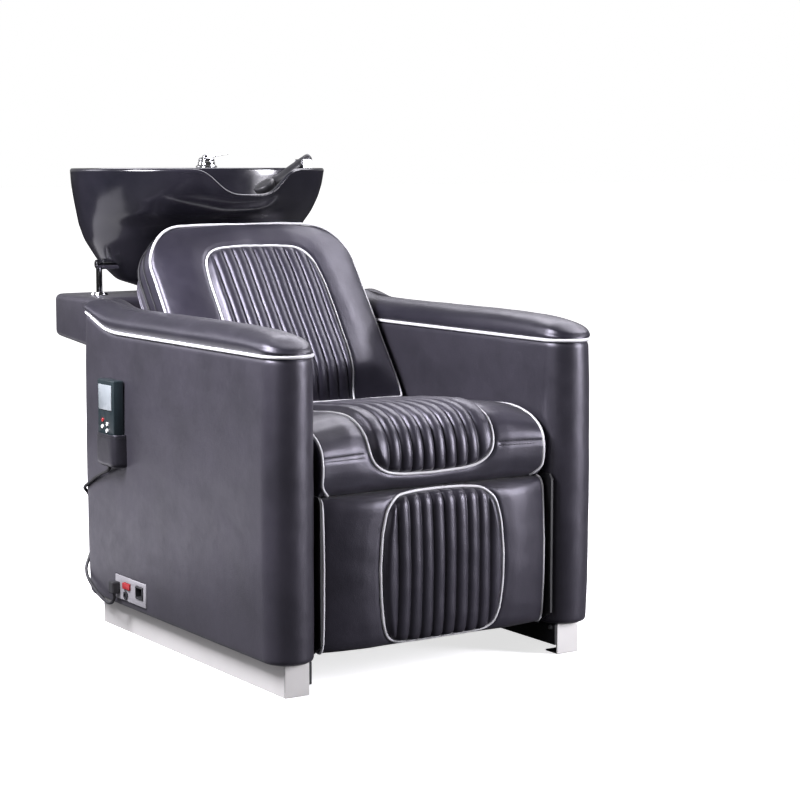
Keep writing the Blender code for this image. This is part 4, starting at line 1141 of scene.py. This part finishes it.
def remote_lead():
    """The remote's lead, from the foot of the remote round the arm's rear edge to its plug."""
    points = through(CORD_ROUTE, 6) + DATUM
    curve = bpy.data.curves.new("remote_lead_cable", "CURVE")
    curve.dimensions = "3D"
    curve.bevel_depth = CORD_RADIUS
    curve.bevel_resolution = 4
    curve.use_fill_caps = True
    spline = curve.splines.new("POLY")
    spline.points.add(len(points) - 1)
    for spot, place in zip(spline.points, points):
        spot.co = (*place, 1.0)
    spline.use_smooth = True
    curve.materials.append(RUBBER)
    cable = new_object("remote_lead_cable", curve)
    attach(cable, "root")
    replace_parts(cable, "remote_lead")


def pocket():
    """The leather pouch on the left arm that the remote stands in."""
    plan = [(0.6025, -0.3705), (0.6020, -0.3790), (0.6028, -0.3890), (0.6060, -0.3980),
            (0.6130, -0.4036), (0.6250, -0.4052), (0.6480, -0.4056), (0.6700, -0.4052),
            (0.6830, -0.4036), (0.6905, -0.3980), (0.6935, -0.3890), (0.6940, -0.3790),
            (0.6935, -0.3705)]
    rim = smoothed(resample(plan, 0.003), 3)
    middle = np.array((0.648, -0.3705))
    rings = []
    low, high = 0.3600, 0.4285
    for t in np.concatenate([np.linspace(0, 0.16, 8)[:-1], np.linspace(0.16, 1.0, 20)]):
        drop = max(0.0, 1 - t / 0.16)
        tuck = 1 - 0.30 * (1 - math.sqrt(max(0.0, 1 - drop ** 2)))
        belly = 1 + 0.03 * math.sin(math.pi * t)
        flat = middle + (rim - middle) * (1 - (1 - tuck) * 0.6, tuck * belly)
        flat[:, 1] = np.maximum(flat[:, 1], -0.4058)
        rings.append(np.stack([flat[:, 1], flat[:, 0], np.full(len(rim), low + t * (high - low))], 1))
    for lift, shrink in ((0.0008, 0.985), (0.0002, 0.955), (-0.003, 0.945), (-0.030, 0.940),
                         (-0.045, 0.930)):
        flat = middle + (rim - middle) * shrink
        rings.append(np.stack([flat[:, 1], flat[:, 0], np.full(len(rim), high + lift)], 1))
    pouch = piece("remote_pocket_leather", *capped(rings), POUCH, "root", "black_leather")
    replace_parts(pouch, "remote_pocket")
    hem = np.stack([rim[:, 1], rim[:, 0], np.full(len(rim), high - 0.006)], 1)
    wall = middle[1] * np.array((1, 0, 0))
    hem = wall + (hem - wall) * (1.012, 1, 1)
    dots = [tube_mesh([start * 0.72 + end * 0.28, start * 0.28 + end * 0.72], THREAD_RADIUS, 6)
            for start, end in zip(hem, hem[1:])]
    gathered("pocket_stitches", dots, THREAD, "root", "black_leather")


def controls():
    """The remote, its buttons and the power panel, with their edges rolled over."""
    softened("remote_case", "remote_body", 0.0035, REMOTE_SHELL, "root", 5)
    softened("remote_window", "remote_screen", 0.0005, DISPLAY, "root")
    softened("power_panel_plate", "power_panel", 0.0008, GREY_PLASTIC, "root")
    softened("power_rocker_cap", "power_rocker", 0.0008, RED_PLASTIC, "power_rocker")
    softened("mains_inlet_block", "mains_inlet", 0.0006, BLACK_PLASTIC, "root")
    for number, finish, slot in ((1, RED_PLASTIC, "red_plastic"), (2, WHITE_PLASTIC, "white_trim"),
                                 (3, WHITE_PLASTIC, "white_trim"), (4, WHITE_PLASTIC, "white_trim")):
        node = "remote_button_%d" % number
        softened("%s_cap" % node, node, 0.0005, finish, "button_%d" % number)


def box_mesh(low, high):
    (x0, y0, z0), (x1, y1, z1) = low, high
    verts = [(x, y, z) for z in (z0, z1) for y in (y0, y1) for x in (x0, x1)]
    faces = [(0, 2, 3, 1), (4, 5, 7, 6), (0, 1, 5, 4), (2, 6, 7, 3), (0, 4, 6, 2), (1, 3, 7, 5)]
    return verts, faces


def plinth_joints():
    """The dark line where each folded cover's side sheet meets its front sheet."""
    for side, tag in ((-1, "left"), (1, "right")):
        x = side * 0.3421
        inner = x - side * 0.0008
        strip = box_mesh((min(x, inner), 0.0218, 0.003), (max(x, inner), 0.0226, 0.060))
        gathered("%s_plinth_joint" % tag, [strip], THREAD, "root", "stainless", shade=False)


def dress_frame():
    """Finishes for the CAD nodes that stay in view."""
    chosen = {"black_leather": LEATHER_SIDE, "black_steel": POWDER, "stainless": STAINLESS,
              "zinc_steel": ZINC, "chrome": CHROME, "black_ceramic": GLAZE,
              "black_plastic": BLACK_PLASTIC, "grey_plastic": GREY_PLASTIC,
              "red_plastic": RED_PLASTIC, "white_trim": WHITE_PLASTIC, "display": DISPLAY,
              "rubber": RUBBER}
    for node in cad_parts.values():
        for place in node.material_slots:
            place.material = chosen[place.material.name.split(".")[0]]


RUBBER = plastic_finish("soft_rubber", (0.012, 0.012, 0.013), (0.022, 0.022, 0.024),
                        (0.50, 0.66), 0.35)
add_camera()
remote_lead()

LEATHER_TOP = leather_finish("leather_seat", (0.017, 0.016, 0.022), (0.026, 0.024, 0.033))
# The back uses the same black hide as the seat, toned darker: painted shade for the back, which is seen
# less lit.
BACK_LEATHER_PAINTED_SHADE = leather_finish("leather_back", (0.011, 0.010, 0.0155), (0.018, 0.0165, 0.025))
# The legrest uses the same black hide, toned a little darker: painted shade for the legrest's front.
LEGREST_LEATHER_PAINTED_SHADE = leather_finish("leather_legrest", (0.014, 0.013, 0.018), (0.022, 0.020, 0.028))
# The arm pads use the same black hide, toned darkest: painted shade for the pad tops, which are seen
# dim.
ARM_PAD_LEATHER_PAINTED_SHADE = leather_finish("leather_arm_pads", (0.008, 0.0075, 0.012), (0.014, 0.013, 0.019))
LEATHER_SIDE = leather_finish("leather_sides", (0.017, 0.016, 0.021), (0.027, 0.025, 0.033),
                              wrinkle=0.25)
WHITE = vinyl_finish()
THREAD = plastic_finish("waxed_thread", (0.006, 0.006, 0.007), (0.014, 0.014, 0.016), (0.5, 0.7))
STAINLESS = brushed_finish("brushed_stainless", (0.68, 0.67, 0.64), (0.76, 0.75, 0.72), (0.32, 0.48),
                           (1.0, 0.04, 6.0), metallic=0.35)
ZINC = brushed_finish("zinc_plating", (0.40, 0.40, 0.42), (0.52, 0.52, 0.53), (0.34, 0.50),
                      (1.0, 1.0, 1.0))
CHROME = chrome_finish()
GLAZE = glaze_finish()
BLACK_PLASTIC = plastic_finish("black_moulding", (0.014, 0.014, 0.016), (0.026, 0.026, 0.028),
                               (0.34, 0.48))
REMOTE_SHELL = plastic_finish("remote_shell", (0.008, 0.014, 0.016), (0.012, 0.020, 0.023),
                              (0.30, 0.42))
POUCH = leather_finish("leather_pouch", (0.008, 0.008, 0.010), (0.014, 0.013, 0.017))
GREY_PLASTIC = plastic_finish("grey_moulding", (0.21, 0.205, 0.215), (0.26, 0.255, 0.265),
                              (0.40, 0.52))
RED_PLASTIC = plastic_finish("red_moulding", (0.24, 0.012, 0.016), (0.32, 0.022, 0.024),
                             (0.28, 0.40), 0.12)
WHITE_PLASTIC = plastic_finish("white_moulding", (0.62, 0.62, 0.60), (0.74, 0.74, 0.72),
                               (0.34, 0.46), 0.12)
DISPLAY = plastic_finish("display_glass", (0.20, 0.225, 0.235), (0.26, 0.285, 0.295),
                         (0.12, 0.20), 0.03)
POWDER = powder_finish()

dress_frame()
seat()
legrest()
back()
arm(-1, "left")
arm(1, "right")
shelf()
basin()
mixer()
hand_shower()
pocket()
controls()
plinth_joints()

add_floor()
add_world()
add_light("key_softbox", (-1.45, 0.40, 1.75), (-0.37, 0.40, 0.62), (0.8, 0.8), 122)
add_light("left_rear_panel", (-2.1, 3.0, 2.1), (-0.2, 0.6, 0.6), (1.5, 1.3), 24)
add_light("left_front_panel", (-3.2, -0.8, 1.6), (-0.2, 0.8, 0.8), (1.5, 1.8), 24)
add_light("floor_card", (-1.35, 1.75, 0.03), (-1.35, 1.75, 2.0), (1.8, 1.5), 11, glossy_only=True)
add_light("rear_high", (1.7, 1.9, 2.9), (0.1, 0.2, 0.5), (2.4, 1.6), 68)
add_light("right_high", (1.9, 0.1, 2.3), (0.1, 0.6, 0.65), (0.8, 0.8), 32)
add_light("right_strip", (2.2, -2.1, 1.2), (0.2, 0.1, 0.4), (0.8, 1.6), 165)
bpy.context.scene.view_settings.view_transform = "Standard"
